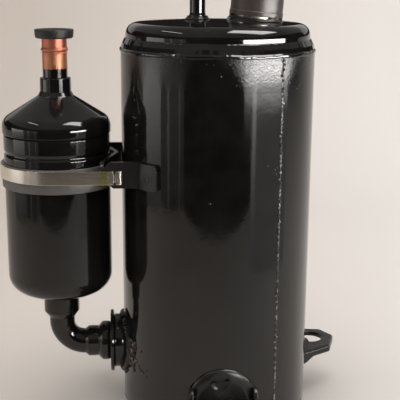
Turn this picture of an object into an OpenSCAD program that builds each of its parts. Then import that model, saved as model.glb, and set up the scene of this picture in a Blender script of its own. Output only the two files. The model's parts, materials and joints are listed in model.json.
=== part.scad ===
// Refrigeration rotary compressor: a welded vertical shell with a suction accumulator on a side
// bracket, three mounting feet, and the motor and rolling-piston pump inside.
// Origin: shell axis at the underside of the bottom cap. +Z is up, +X is the terminal side.

/* [Shell] */
// Outer diameter of the shell tube
shell_d = 117; // [116:0.1:118]
// Wall thickness of the shell tube and its two caps
wall_t = 3; // [2.8:0.05:3.2]
// Height of the shell tube's lower edge
shell_low = 17; // [16:0.1:18]
// Height of the shell tube's upper edge
shell_high = 237.5; // [236:0.1:240]
// Height of the crown of the top cap
crown_z = 255.3; // [255:0.1:256]
// Corner radius of the top cap
top_corner_r = 7; // [6:0.1:7.5]
// Corner radius of the bottom cap
low_corner_r = 9; // [8:0.1:10]
// Azimuth of the lengthwise shell seam, in degrees
seam_angle = 309; // [300:1:318]

/* [Feet] */
// Azimuth of the front foot, in degrees
front_foot_angle = 275.5; // [275:0.5:279]
// Azimuth of the right foot, in degrees
right_foot_angle = 37; // [35:1:39]
// Azimuth of the left foot, in degrees
left_foot_angle = 146; // [142:1:148]
// Height of the top of the foot plates
foot_top = 33; // [32:0.1:34]
// Thickness of the foot sheet
foot_t = 3; // [2.5:0.1:3]
// Half width of a foot plate
foot_half = 20; // [19.5:0.1:20.5]
// Radius of the foot tips from the shell axis
foot_tip = 100.5; // [100:0.1:101]
// Pitch circle diameter of the foot holes
foot_pcd = 168; // [167:0.5:169]
// Diameter of the grommet hole in each foot
foot_hole_d = 18; // [16:0.5:18]

/* [Connections] */
// Outer diameter of the discharge tube
discharge_d = 9.52; // [9.52:0.01:9.55]
// Height of the open end of the discharge tube
discharge_top = 286; // [280:1:290]
// Outer diameter of the suction elbow
suction_d = 15.88; // [15.8:0.01:15.9]
// Height of the suction port's axis
suction_z = 52; // [51:0.1:53]
// Tilt of the terminal axis towards +X, in degrees
terminal_tilt = 5; // [4:0.1:6]
// Outer diameter of the terminal cover
cover_d = 32; // [31:0.1:32]
// Height of the terminal cover
cover_h = 30; // [28:0.5:34]

/* [Accumulator] */
// Azimuth of the accumulator, in degrees
acc_angle = 186; // [184:0.5:188]
// Distance from the shell axis to the accumulator axis
acc_reach = 97.5; // [97:0.1:98]
// Outer diameter of the accumulator body
acc_d = 64.4; // [64:0.1:64.6]
// Wall thickness of the accumulator
acc_t = 2; // [1.8:0.1:2]
// Height of the lowest point of the accumulator body
acc_low = 82.2; // [82:0.1:83]
// Height of the joint between accumulator body and cap
acc_joint = 188; // [187.5:0.1:188.5]
// Outer diameter of the inlet socket tube
inlet_d = 14.8; // [14.6:0.1:15]
// Height of the open end of the inlet tube
inlet_top = 244.1; // [242:0.1:246]

/* [Pump] */
// Throw of the eccentric
throw = 4.5; // [4:0.1:4.5]
// Outer diameter of the roller
roller_d = 45; // [44:0.1:45]
// Height of the pump cylinder
cylinder_h = 28; // [27:0.1:28]
// Azimuth of the vane, in degrees
vane_angle = 155; // [150:1:158]
// Thickness of the vane
vane_t = 4; // [3.5:0.1:4]
// Diameter of the crankshaft
shaft_d = 20; // [19:0.1:20]

/* [Motor] */
// Bore diameter of the stator core
stator_bore_d = 62; // [61.5:0.1:62.5]
// Height of the stator and rotor cores
core_h = 70; // [66:1:72]
// Number of stator slots
slot_count = 18; // [12:6:18]
// Number of rotor bars
bar_count = 22; // [16:2:24]

/* [Hidden] */
$fn = 96;

// Small lengths shared by the whole model
over = 1;             // how far a cutting shape runs past what it cuts
run_gap = 0.03;       // radial clearance of a running shaft
slide_gap = 0.05;     // clearance of a sliding fit

shell_r = shell_d / 2;
bore_r = shell_r - wall_t;
cap_skirt_low = shell_high - 11;
cap_skirt_high = shell_low + 9;
weld_rise = 7.5;
weld_drop = 6.5;
weld_land = 1.5;

foot_hole_r = foot_hole_d / 2;
foot_root = 52;
foot_shoulder = 85;
foot_tip_half = 7;
foot_drop = 5.5;
flange_depth = 4.8;
flange_bend = 72;
tab_r = 120;
tab_bite = 0.4;
tab_half = 20.5;
tab_top = 55.5;
ear_r = 5.6;
ear_x = 60;
ear_z = 38.4;
dimple_r = 5;
dimple_y = -1.8;
dimple_z = 48.3;

discharge_r = discharge_d / 2;
discharge_x = -12.3;
discharge_y = 2.5;
discharge_wall = 0.8;
ferrule_r = 6.35;
ferrule_top = crown_z + 2;
swage_r = discharge_r + 0.3;
flare_r = 7.8;
discharge_plug_r = 7;

terminal_x = 22.4;
terminal_y = -2;
terminal_hole_r = 11.5;
terminal_flange_r = 12.4;
pin_circle_r = 5.5;
pin_r = 1.6;
bead_r = 3;
fence_r = 13.9;
cover_r = cover_d / 2;
cover_wall = 1.8;
cover_lift_z = 2.9;
pad_r = 16.6;
pad_z = 0.9;
gasket_top = 2;

suction_r = suction_d / 2;
suction_wall = 1;
elbow_r = 14.5;
boss_r = 17.4;
boss_disc_r = 19.85;
boss_face = 66.9;
spigot_r = 9.5;
liner_r = 5.5;
sleeve_mid = 74.4;
sleeve_end = 83;

acc_r = acc_d / 2;
acc_corner = 12;
acc_corner_rise = 17;
acc_cap_r = acc_r + 0.6;
acc_cap_bend = 8;
cone_slope = 31.5;
groove_z = 176.8;
neck_r = 9.25;
neck_top = 221;
inlet_r = inlet_d / 2;
inlet_bore_r = 6.45;
inlet_low = 204;
bead_z = 237.3;
inlet_plug_r = 11.6;
inlet_plug_h = 5.3;

strap_z = 162;
strap_w = 8;
strap_t = 1;
liner_low = 156;
liner_high = 170.5;
liner_t = 1.4;
strap_liner_r = acc_r + liner_t;
bracket_low = 159.7;
bracket_high = 175.3;
bracket_t = 2.5;
arm_y = strap_liner_r;
arm_end = 72;
crown_lean = asin((strap_liner_r + slide_gap) / norm([acc_reach - arm_end, arm_y]))
    + atan2(arm_y, acc_reach - arm_end) - 90;
crown_x = arm_end - arm_y * tan(crown_lean);
wing_start = 33;
wing_spread = 50;
slot_x = 58.5;

shaft_r = shaft_d / 2;
shaft_bore_r = shaft_r + run_gap;
shaft_low = 14;
shaft_top = 196;
oil_bore_r = 4;
cylinder_low = suction_z - cylinder_h / 2;
cylinder_top = suction_z + cylinder_h / 2;
roller_r = roller_d / 2;
eccentric_r = 16.5;
eccentric_gap = 2;
cylinder_r = roller_r + throw + slide_gap;
block_r = bore_r - 0.1;
bearing_t = 10;
bearing_r = 45;
sub_flange_t = 8;
sub_flange_r = 42;
hub_r = 16;
hub_top = cylinder_top + 42;
sub_hub_r = 14;
sub_hub_low = 16;
vane_tip = cylinder_r + slide_gap;
vane_len = 20;
vane_play = 1;
vane_slot_end = 50;
spring_r = 3.4;
spring_wire_r = 0.5;
spring_hole_r = 4.2;
spring_turns = 4;
bolt_circle_r = 36;
bolt_r = 2.5;
bolt_head_r = 4.5;
bolt_head_h = 4;
bolt_angle = 50;
port_r = 4;
port_circle_r = 22.5;
port_angle = 137;
reed_len = 26;
reed_free = 21.5;
reed_w = 8;
reed_t = 0.4;
reed_stop_t = 1.2;
reed_stop_tilt = 5;
muffler_r = 42;
muffler_h = 19;

core_low = 118;
core_top = core_low + core_h;
rotor_r = stator_bore_d / 2 - 0.5;
end_ring_h = 8;
end_ring_in = 19;
end_ring_out = 29.5;
bar_r = 1.6;
bar_circle_r = 27;
weight_in = 18;
weight_out = 28;
weight_h = 10;
weight_span = 170;
rivet_r = 2;
rivet_circle_r = 22.8;
rivet_head_r = 3.2;
rivet_head_h = 1.4;
slot_in = 35;
slot_out = 51;
slot_w = 5.6;
slot_mouth = 2;
end_turn_in = 34;
end_turn_out = 52;
end_turn_h = 20;
cluster_low = -22;
cluster_high = -10;
pin_low = -14;
pin_high = 15;
wire_r = 1.5;

black = [0.04, 0.04, 0.045];
copper = [0.72, 0.42, 0.28];
steel = [0.66, 0.66, 0.68];
iron = [0.42, 0.42, 0.43];
rubber = [0.09, 0.09, 0.09];

// Points along an arc
function arc(centre, r, from, to, steps) =
    [for (i = [0:steps]) let (a = from + (to - from) * i / steps)
        [centre[0] + r * cos(a), centre[1] + r * sin(a)]];

// Half outline of a pressed end, crown down: lowest at y = 0, corner centre at y = rise, and a
// straight wall above it. The crown is the circle that the corner circle is tangent to.
module pressed_outline(r, corner, rise, straight, inset) {
    corner_x = r - corner;
    crown_r = (corner_x * corner_x + rise * rise - corner * corner) / (2 * (rise - corner));
    tangent_x = corner_x * (crown_r - inset) / (crown_r - corner);
    intersection() {
        translate([0, crown_r]) circle(crown_r - inset, $fn = 720);
        square([tangent_x, rise]);
    }
    intersection() {
        translate([corner_x, rise]) circle(corner - inset);
        square([r, rise]);
    }
    translate([0, rise]) square([r - inset, straight]);
}

// Frame of the accumulator side: local x runs outwards along the accumulator's azimuth
module acc_frame() {
    rotate([0, 0, acc_angle]) children();
}

// Frame on the accumulator's own axis
module acc_axis() {
    acc_frame() translate([acc_reach, 0, 0]) children();
}

// Frame of the suction line's level run: local z runs outwards from the shell axis
module suction_axis() {
    acc_frame() translate([0, 0, suction_z]) rotate([0, 90, 0]) children();
}

// Frame of the terminal: local z leaves the top cap, leaning towards +X
module terminal_frame() {
    translate([terminal_x, terminal_y, crown_z - 0.4]) rotate([0, terminal_tilt, 0]) children();
}

// Flat ring standing on z = low
module ring(r_out, r_in, low, high) {
    difference() {
        translate([0, 0, low]) cylinder(r = r_out, h = high - low);
        translate([0, 0, low - over]) cylinder(r = r_in, h = high - low + 2 * over);
    }
}

// Round rod from one point to another
module rod(a, b, r) {
    d = b - a;
    translate(a) rotate([0, acos(d[2] / norm(d)), atan2(d[1], d[0])])
        cylinder(r = r, h = norm(d), $fn = 32);
}

// ---------------------------------------------------------------- shell

module shell_tube() {
    color(black) difference() {
        ring(shell_r, bore_r, shell_low, shell_high);
        suction_axis() cylinder(r = spigot_r, h = shell_r + over);
    }
}

module top_cap() {
    rise = top_corner_r + 1.8;
    skirt = crown_z - rise - cap_skirt_low;
    color(black) difference() {
        union() {
            translate([0, 0, crown_z]) rotate_extrude() mirror([0, 1]) difference() {
                pressed_outline(bore_r, top_corner_r, rise, skirt, 0);
                pressed_outline(bore_r, top_corner_r, rise, skirt + over, wall_t);
            }
            terminal_frame() translate([0, 0, -1.5]) cylinder(r = pad_r, h = pad_z + 1.5);
        }
        translate([discharge_x, discharge_y, cap_skirt_low])
            cylinder(r = ferrule_r, h = crown_z - cap_skirt_low + over);
        terminal_frame() translate([0, 0, -10]) cylinder(r = terminal_hole_r, h = 20);
    }
}

module low_cap_outline(inset) {
    translate([0, low_corner_r]) square([bore_r - inset, cap_skirt_high - low_corner_r + inset]);
    translate([0, inset]) square([bore_r - low_corner_r, low_corner_r]);
    translate([bore_r - low_corner_r, low_corner_r]) circle(low_corner_r - inset);
}

module bottom_cap() {
    color(black) rotate_extrude() difference() {
        low_cap_outline(0);
        low_cap_outline(wall_t);
    }
}

module top_cap_weld() {
    color(black) translate([0, 0, shell_high]) rotate_extrude()
        polygon([[bore_r, 0], [shell_r, 0], [shell_r, weld_land],
            [shell_r - 0.8, weld_rise * 0.55], [bore_r, weld_rise]]);
}

module bottom_cap_weld() {
    color(black) translate([0, 0, shell_low]) rotate_extrude()
        polygon([[bore_r, 0], [bore_r, -weld_drop], [shell_r - 0.8, -weld_drop * 0.6],
            [shell_r, -weld_land], [shell_r, 0]]);
}

module seam_weld() {
    bead_w = 1.2;
    bead_h = 0.35;
    color(black) rotate([0, 0, seam_angle]) intersection() {
        ring(shell_r + bead_h, shell_r, shell_low + 1, shell_high - 0.5);
        translate([shell_r / 2, -bead_w / 2, shell_low]) cube([shell_r, bead_w, shell_high]);
    }
}

// ---------------------------------------------------------------- feet

// Outline of a foot plate, drawn in by inset on its two sides, its shoulders and its tip
module foot_outline(inset) {
    run = foot_tip - foot_shoulder;
    drop = foot_half - foot_tip_half;
    long = norm([run, drop]);
    reach = (foot_shoulder * drop + foot_half * run) / long - inset;
    side = foot_half - inset;
    tip = foot_tip - inset;
    shoulder = (reach * long - side * run) / drop;
    tip_half = (reach * long - tip * drop) / run;
    polygon([[foot_root - inset, -side], [shoulder, -side], [tip, -tip_half],
        [tip, tip_half], [shoulder, side], [foot_root - inset, side]]);
}

module foot(angle) {
    tab_low = foot_top - foot_t;
    flange_low = tab_low - foot_drop;
    round_z = tab_top - tab_half;
    color(black) rotate([0, 0, angle]) difference() {
        union() {
            translate([0, 0, tab_low]) linear_extrude(foot_t) foot_outline(0);
            intersection() {
                translate([0, 0, flange_low]) linear_extrude(foot_top - flange_low) difference() {
                    foot_outline(0);
                    foot_outline(foot_t);
                }
                rotate([90, 0, 0]) linear_extrude(3 * foot_half, center = true)
                    polygon([[foot_root, flange_low], [shell_r + foot_t, flange_low],
                        [flange_bend, foot_top - flange_depth],
                        [foot_tip + over, foot_top - flange_depth],
                        [foot_tip + over, foot_top], [foot_root, foot_top]]);
            }
            intersection() {
                translate([shell_r - tab_bite - tab_r, 0, 0])
                    ring(tab_r + foot_t, tab_r, tab_low, tab_top + over);
                translate([foot_root, 0, 0]) rotate([90, 0, 90]) linear_extrude(20) {
                    translate([-tab_half, tab_low]) square([2 * tab_half, round_z - tab_low]);
                    translate([0, round_z]) circle(tab_half);
                }
            }
            for (side = [-1, 1]) translate([ear_x, side * (tab_half - foot_t / 2), ear_z])
                rotate([90, 0, 0]) cylinder(r = ear_r, h = foot_t - 0.4, center = true);
        }
        cylinder(r = shell_r, h = tab_top + over);
        translate([foot_pcd / 2, 0, 0]) cylinder(r = foot_hole_r, h = foot_top + over);
        translate([shell_r + foot_t - tab_bite - 1, dimple_y, dimple_z]) rotate([0, 90, 0])
            cylinder(r = dimple_r, h = 10);
    }
}

module foot_front() {
    foot(front_foot_angle);
}

module foot_right() {
    foot(right_foot_angle);
}

module foot_left() {
    foot(left_foot_angle);
}

// ---------------------------------------------------------------- discharge line

// The tube's swaged root fills the ferrule, and the stub above it has the line's own size
module discharge_tube() {
    bore = discharge_r - discharge_wall;
    low = crown_z - 12;
    color(black) translate([discharge_x, discharge_y, 0]) rotate_extrude() polygon([[bore, low],
        [swage_r, low], [swage_r, ferrule_top], [discharge_r, ferrule_top],
        [discharge_r, discharge_top], [bore, discharge_top]]);
}

module discharge_ferrule() {
    color(black) translate([discharge_x, discharge_y, 0]) difference() {
        union() {
            translate([0, 0, ferrule_top - 8]) cylinder(r = ferrule_r, h = 8);
            translate([0, 0, crown_z]) cylinder(r1 = flare_r, r2 = ferrule_r - 0.2, h = 1.3);
        }
        translate([0, 0, crown_z - 10]) cylinder(r = swage_r, h = 20);
    }
}

module discharge_plug() {
    stem_r = discharge_r - discharge_wall - slide_gap;
    color(rubber) translate([discharge_x, discharge_y, discharge_top]) {
        translate([0, 0, -8]) cylinder(r = stem_r, h = 8);
        rotate_extrude() difference() {
            square([discharge_plug_r, 4.5]);
            translate([0, 4.5 + 12]) circle(12.6);
        }
    }
}

// ---------------------------------------------------------------- terminal

module pin_places() {
    for (i = [0:2]) rotate([0, 0, 90 + 120 * i]) translate([pin_circle_r, 0, 0]) children();
}

module terminal_body() {
    color(steel) terminal_frame() difference() {
        union() {
            translate([0, 0, -5]) cylinder(r = terminal_hole_r, h = 7);
            translate([0, 0, pad_z]) cylinder(r = terminal_flange_r, h = 2 - pad_z);
        }
        pin_places() translate([0, 0, -8]) cylinder(r = bead_r, h = 12);
        translate([0, 0, -7]) cylinder(r = terminal_hole_r - 2.2, h = 4);
    }
}

module terminal_beads() {
    color([0.75, 0.72, 0.62]) terminal_frame() pin_places() ring(bead_r, pin_r, -3, 3.2);
}

module terminal_pins() {
    color(steel) terminal_frame() pin_places() {
        translate([0, 0, pin_low]) cylinder(r = pin_r, h = pin_high - pin_low);
        translate([-0.4, -3.15, 8]) cube([0.8, 6.3, 9]);
    }
}

module terminal_fence() {
    color(steel) terminal_frame() ring(fence_r, terminal_flange_r, pad_z, 12);
}

module terminal_gasket() {
    color(rubber) terminal_frame() ring(cover_r, fence_r, pad_z, gasket_top);
}

module terminal_cover() {
    inner_r = fence_r + slide_gap;
    lug_span = 16;
    inset = 0.1;  // keeps a lug's sides off the skirt's round faces
    color(rubber) terminal_frame() {
        difference() {
            translate([0, 0, cover_lift_z]) rotate_extrude()
                polygon(concat([[0, 0], [cover_r, 0]],
                    arc([cover_r - 3, cover_h - 3], 3, 0, 90, 8), [[0, cover_h]]));
            translate([0, 0, cover_lift_z - over])
                cylinder(r = inner_r, h = cover_h - cover_wall + over);
        }
        slot_places(6) translate([0, 0, gasket_top]) rotate_extrude(angle = lug_span)
            translate([inner_r + inset, 0])
                square([cover_r - inner_r - 2 * inset, cover_lift_z - gasket_top + over]);
    }
}

// ---------------------------------------------------------------- motor

module slot_places(count) {
    for (i = [0:count - 1]) rotate([0, 0, 360 * i / count]) children();
}

module stator_core() {
    oil_notch_r = 3;
    color(iron) difference() {
        ring(bore_r, stator_bore_d / 2, core_low, core_top);
        slot_places(slot_count) translate([0, 0, core_low - over]) {
            translate([slot_in, -slot_w / 2, 0])
                cube([slot_out - slot_in, slot_w, core_h + 2 * over]);
            translate([stator_bore_d / 2 - 2, -slot_mouth / 2, 0])
                cube([slot_in - stator_bore_d / 2 + 3, slot_mouth, core_h + 2 * over]);
        }
        slot_places(6) translate([bore_r + 1, 0, core_low - over])
            cylinder(r = oil_notch_r, h = core_h + 2 * over, $fn = 24);
    }
}

module stator_winding() {
    gap = 0.3;
    color(copper) {
        ring(end_turn_out, end_turn_in, core_low - end_turn_h, core_low);
        ring(end_turn_out, end_turn_in, core_top, core_top + end_turn_h);
        slot_places(slot_count) translate([slot_in + gap, gap - slot_w / 2, core_low - over])
            cube([slot_out - slot_in - 2 * gap, slot_w - 2 * gap, core_h + 2 * over]);
    }
}

module cluster_block() {
    color([0.85, 0.83, 0.78]) terminal_frame() difference() {
        translate([-9, -9, cluster_low]) cube([18, 18, cluster_high - cluster_low]);
        pin_places() translate([0, 0, pin_low])
            cylinder(r = pin_r, h = cluster_high - pin_low + over);
    }
}

module lead_wires() {
    top = core_top + end_turn_h;
    for (i = [0:2]) {
        tone = [[0.75, 0.1, 0.08], [0.1, 0.15, 0.6], [0.85, 0.75, 0.1]][i];
        color(tone) rod([39 - i, -12 + 10 * i, top + 1], [24 - i, -6 + 4 * i, top + 22], wire_r);
    }
}

module rotor_core() {
    color(iron) difference() {
        ring(rotor_r, shaft_r, core_low, core_top);
        slot_places(bar_count) translate([bar_circle_r, 0, core_low - over])
            cylinder(r = bar_r, h = core_h + 2 * over, $fn = 24);
        rivet_holes();
        slot_places(4) rotate([0, 0, vane_angle]) translate([16, 0, core_low - over])
            cylinder(r = 3, h = core_h + 2 * over, $fn = 32);
    }
}

module rotor_cage() {
    color([0.78, 0.79, 0.8]) difference() {
        union() {
            ring(end_ring_out, end_ring_in, core_low - end_ring_h, core_low);
            ring(end_ring_out, end_ring_in, core_top, core_top + end_ring_h);
            slot_places(bar_count) translate([bar_circle_r, 0, core_low - over])
                cylinder(r = bar_r, h = core_h + 2 * over, $fn = 24);
        }
        rivet_holes();
    }
}

// Rivet azimuths: two under each balance weight
function rivet_angle(i) = vane_angle - 45 + 90 * i;

module rivet_holes() {
    for (i = [0:3]) rotate([0, 0, rivet_angle(i)])
        translate([rivet_circle_r, 0, core_low - 30])
            cylinder(r = rivet_r, h = core_h + 60, $fn = 32);
}

module balance_weight(angle, low) {
    color([0.7, 0.58, 0.3]) difference() {
        rotate([0, 0, angle - weight_span / 2]) translate([0, 0, low])
            rotate_extrude(angle = weight_span)
                translate([weight_in, 0]) square([weight_out - weight_in, weight_h]);
        rivet_holes();
    }
}

module upper_balance_weight() {
    balance_weight(vane_angle, core_top + end_ring_h);
}

module lower_balance_weight() {
    balance_weight(vane_angle + 180, core_low - end_ring_h - weight_h);
}

module rotor_rivets() {
    color(steel) for (i = [0:3]) {
        under_upper = i < 2;
        low = core_low - end_ring_h - (under_upper ? 0 : weight_h);
        high = core_top + end_ring_h + (under_upper ? weight_h : 0);
        rotate([0, 0, rivet_angle(i)]) translate([rivet_circle_r, 0, 0]) {
            translate([0, 0, low]) cylinder(r = rivet_r, h = high - low, $fn = 32);
            translate([0, 0, low - rivet_head_h])
                cylinder(r = rivet_head_r, h = rivet_head_h, $fn = 32);
            translate([0, 0, high]) cylinder(r = rivet_head_r, h = rivet_head_h, $fn = 32);
        }
    }
}

// ---------------------------------------------------------------- crank and pump

// Frame of the eccentric at rest, thrown towards the vane
module eccentric_frame() {
    rotate([0, 0, vane_angle]) translate([throw, 0, 0]) children();
}

module crankshaft() {
    color(steel) difference() {
        union() {
            translate([0, 0, shaft_low]) cylinder(r = shaft_r, h = shaft_top - shaft_low);
            eccentric_frame() translate([0, 0, cylinder_low + eccentric_gap])
                cylinder(r = eccentric_r, h = cylinder_h - 2 * eccentric_gap);
        }
        translate([0, 0, shaft_low - over]) cylinder(r = oil_bore_r, h = 110);
        translate([0, 0, suction_z]) rotate([0, 90, vane_angle + 90])
            cylinder(r = 1.5, h = 30, $fn = 24);
    }
}

module oil_paddle() {
    color(steel) translate([-3.6, -0.4, shaft_low + 2]) cube([7.2, 0.8, 34]);
}

module bolt_places() {
    for (i = [0:4]) rotate([0, 0, bolt_angle + 72 * i]) translate([bolt_circle_r, 0, 0])
        children();
}

module main_bearing() {
    color(iron) difference() {
        union() {
            translate([0, 0, cylinder_top]) cylinder(r = bearing_r, h = bearing_t);
            translate([0, 0, cylinder_top]) cylinder(r = hub_r, h = hub_top - cylinder_top);
        }
        translate([0, 0, cylinder_top - over])
            cylinder(r = shaft_bore_r, h = hub_top - cylinder_top + 2 * over);
        rotate([0, 0, port_angle]) translate([port_circle_r, 0, cylinder_top - over])
            cylinder(r = port_r, h = bearing_t + 2 * over, $fn = 32);
        bolt_places() translate([0, 0, cylinder_top - over])
            cylinder(r = bolt_r, h = bearing_t + 2 * over, $fn = 32);
        reed_frame() translate([reed_len, 0, -bearing_t / 2])
            cylinder(r = bolt_r - 1, h = bearing_t, $fn = 32);
    }
}

module cylinder_block() {
    color(iron) difference() {
        ring(block_r, cylinder_r, cylinder_low, cylinder_top);
        rotate([0, 0, vane_angle]) {
            translate([cylinder_r - 2, -vane_t / 2 - run_gap, cylinder_low - over])
                cube([vane_slot_end - cylinder_r + 2, vane_t + 2 * run_gap,
                    cylinder_h + 2 * over]);
            translate([vane_tip + vane_len - 2, 0, suction_z]) rotate([0, 90, 0])
                cylinder(r = spring_hole_r, h = 20, $fn = 32);
        }
        suction_axis() cylinder(r = liner_r, h = shell_r, $fn = 48);
        bolt_places() {
            translate([0, 0, cylinder_top - 7]) cylinder(r = bolt_r, h = 7 + over, $fn = 32);
            translate([0, 0, cylinder_low - over]) cylinder(r = bolt_r, h = 7 + over, $fn = 32);
        }
    }
}

module sub_bearing() {
    color(iron) difference() {
        union() {
            translate([0, 0, cylinder_low - sub_flange_t])
                cylinder(r = sub_flange_r, h = sub_flange_t);
            translate([0, 0, sub_hub_low])
                cylinder(r = sub_hub_r, h = cylinder_low - sub_hub_low);
        }
        translate([0, 0, sub_hub_low - over])
            cylinder(r = shaft_bore_r, h = cylinder_low - sub_hub_low + 2 * over);
        bolt_places() translate([0, 0, cylinder_low - sub_flange_t - over])
            cylinder(r = bolt_r, h = sub_flange_t + 2 * over, $fn = 32);
    }
}

module roller() {
    color(steel) eccentric_frame()
        ring(roller_r, eccentric_r + slide_gap, cylinder_low + run_gap, cylinder_top - run_gap);
}

module vane() {
    color([0.6, 0.62, 0.66]) rotate([0, 0, vane_angle])
        translate([vane_tip, -vane_t / 2, cylinder_low + run_gap])
            cube([vane_len, vane_t, cylinder_h - 2 * run_gap]);
}

// One ring of points round the spring wire at turn position t
function wire_ring(t, len, sides) =
    [for (k = [0:sides - 1]) let (a = 360 * t * spring_turns, b = 360 * k / sides,
        r = spring_r + spring_wire_r * cos(b))
        [r * cos(a), r * sin(a), spring_wire_r + (len - 2 * spring_wire_r) * t
            + spring_wire_r * sin(b)]];

module vane_spring() {
    sides = 8;
    rings = 14 * spring_turns;
    start = vane_tip + vane_len + vane_play + slide_gap;
    len = bore_r - start - slide_gap;
    points = [for (i = [0:rings]) each wire_ring(i / rings, len, sides)];
    skin = [for (i = [0:rings - 1]) for (k = [0:sides - 1]) let (n = (k + 1) % sides)
        [i * sides + k, (i + 1) * sides + k, (i + 1) * sides + n, i * sides + n]];
    first = [for (k = [0:sides - 1]) k];
    last = [for (k = [sides - 1:-1:0]) rings * sides + k];
    color(steel) rotate([0, 0, vane_angle]) translate([start, 0, suction_z]) rotate([0, 90, 0])
        polyhedron(points, concat([first], skin, [last]));
}

// Frame of the discharge valve: origin over the port on the main bearing's face, local x
// towards the rivet
module reed_frame() {
    rotate([0, 0, port_angle]) translate([port_circle_r, 0, cylinder_top + bearing_t])
        rotate([0, 0, -90]) children();
}

// Flexing tongue of the reed: it lifts about its joint with the clamped root
module discharge_reed() {
    color(steel) reed_frame() linear_extrude(reed_t) {
        translate([0, -reed_w / 2]) square([reed_free, reed_w]);
        circle(port_r + 1);
    }
}

module reed_root() {
    start = reed_free + 0.1;
    color(steel) reed_frame() difference() {
        translate([start, -reed_w / 2, 0]) cube([reed_len + 4 - start, reed_w, reed_t]);
        translate([reed_len, 0, -over]) cylinder(r = bolt_r - 1, h = 3, $fn = 32);
    }
}

module reed_stop() {
    color(iron) reed_frame() difference() {
        union() {
            translate([reed_len, 0, reed_t]) cylinder(r = reed_w / 2, h = reed_stop_t);
            translate([reed_len, 0, reed_t]) rotate([0, reed_stop_tilt, 0])
                translate([-reed_len, 0.5 - reed_w / 2, 0])
                    cube([reed_len, reed_w - 1, reed_stop_t]);
        }
        translate([reed_len, 0, 0]) cylinder(r = bolt_r - 1, h = 8, $fn = 32);
    }
}

module reed_rivet() {
    color(steel) reed_frame() translate([reed_len, 0, 0]) {
        translate([0, 0, -bearing_t / 2])
            cylinder(r = bolt_r - 1, h = bearing_t / 2 + reed_t + reed_stop_t, $fn = 32);
        translate([0, 0, reed_t + reed_stop_t]) {
            cylinder(r = bolt_r - 1, h = 0.4, $fn = 32);
            translate([0, 0, 0.4]) cylinder(r = 3, h = 1.5, $fn = 32);
        }
    }
}

module muffler() {
    low = cylinder_top + bearing_t;
    color(steel) difference() {
        translate([0, 0, low]) cylinder(r = muffler_r, h = muffler_h);
        translate([0, 0, low - over]) cylinder(r = muffler_r - 1, h = muffler_h);
        translate([0, 0, low]) cylinder(r = hub_r, h = muffler_h + over);
        for (side = [-1, 1]) rotate([0, 0, 90 * side]) translate([28, 0, low])
            cylinder(r = 3.5, h = muffler_h + over, $fn = 32);
    }
}

module bolt(shank, head_low, shank_low) {
    translate([0, 0, shank_low]) cylinder(r = bolt_r, h = shank, $fn = 32);
    translate([0, 0, head_low]) cylinder(r = bolt_head_r, h = bolt_head_h, $fn = 32);
}

module main_bearing_bolts() {
    head = cylinder_top + bearing_t;
    color(steel) bolt_places() bolt(head - cylinder_top + 7, head, cylinder_top - 7);
}

module sub_bearing_bolts() {
    face = cylinder_low - sub_flange_t;
    color(steel) bolt_places() bolt(sub_flange_t + 7, face - bolt_head_h, face);
}

// ---------------------------------------------------------------- suction line

module suction_boss() {
    disc_t = 2;
    color(black) difference() {
        union() {
            difference() {
                suction_axis() union() {
                    translate([0, 0, bore_r - 10])
                        cylinder(r = boss_r, h = boss_face - bore_r + 10);
                    translate([0, 0, boss_face - disc_t]) cylinder(r = boss_disc_r, h = disc_t);
                }
                cylinder(r = shell_r, h = 2 * suction_z);
            }
            suction_axis() translate([0, 0, bore_r + 0.5])
                cylinder(r = spigot_r, h = boss_face - bore_r - 1);
        }
        suction_axis() cylinder(r = suction_r, h = 2 * shell_r);
    }
}

module boss_weld() {
    color(black) intersection() {
        suction_axis() ring(boss_r + 2, boss_r, bore_r - 10, shell_r + 5);
        ring(shell_r + 2.4, shell_r, 0, 2 * suction_z);
    }
}

module suction_liner() {
    seat = suction_r - suction_wall;
    color(steel) suction_axis() difference() {
        union() {
            translate([0, 0, cylinder_r + 9]) cylinder(r = liner_r, h = 26, $fn = 48);
            translate([0, 0, bore_r + 2]) cylinder(r = seat, h = 6, $fn = 48);
        }
        cylinder(r = liner_r - 1, h = 100, $fn = 48);
    }
}

// Elbow: level run into the boss, a quarter bend, and a riser into the accumulator
module elbow_solid(r) {
    bend_x = acc_reach - elbow_r;
    suction_axis() translate([0, 0, bore_r + 1.5]) cylinder(r = r, h = bend_x - bore_r - 1.5);
    acc_frame() translate([bend_x, 0, suction_z + elbow_r]) rotate([90, 0, 0])
        rotate([0, 0, 270]) rotate_extrude(angle = 90) translate([elbow_r, 0]) circle(r);
    acc_axis() translate([0, 0, suction_z + elbow_r])
        cylinder(r = r, h = acc_low + 10 - suction_z - elbow_r);
}

module elbow_pipe() {
    color(black) difference() {
        elbow_solid(suction_r);
        elbow_solid(suction_r - suction_wall);
        suction_axis() translate([0, 0, bore_r])
            cylinder(r = suction_r - suction_wall, h = 5);
        acc_axis() translate([0, 0, acc_low])
            cylinder(r = suction_r - suction_wall, h = 12);
    }
}

module elbow_sleeve() {
    big_r = 12.4;
    small_r = 9.75;
    color(black) suction_axis() rotate_extrude() polygon(concat(
        [[suction_r, boss_face], [big_r - 0.4, boss_face]],
        arc([big_r - 2.6, sleeve_mid - 3], 2.6, 0, 75, 5),
        [[small_r, sleeve_mid]],
        arc([small_r - 2, sleeve_end - 3], 2, 0, 60, 4),
        [[suction_r, sleeve_end]]));
}

module outlet_sleeve() {
    r = 11.05;
    low = acc_low - 12.3;
    color(black) difference() {
        acc_axis() rotate_extrude() polygon([[suction_r, low], [suction_r + 0.5, low],
            [r, low + 3.5], [r, acc_low + 3], [suction_r, acc_low + 3]]);
        accumulator_envelope();
    }
}

// ---------------------------------------------------------------- accumulator

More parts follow.
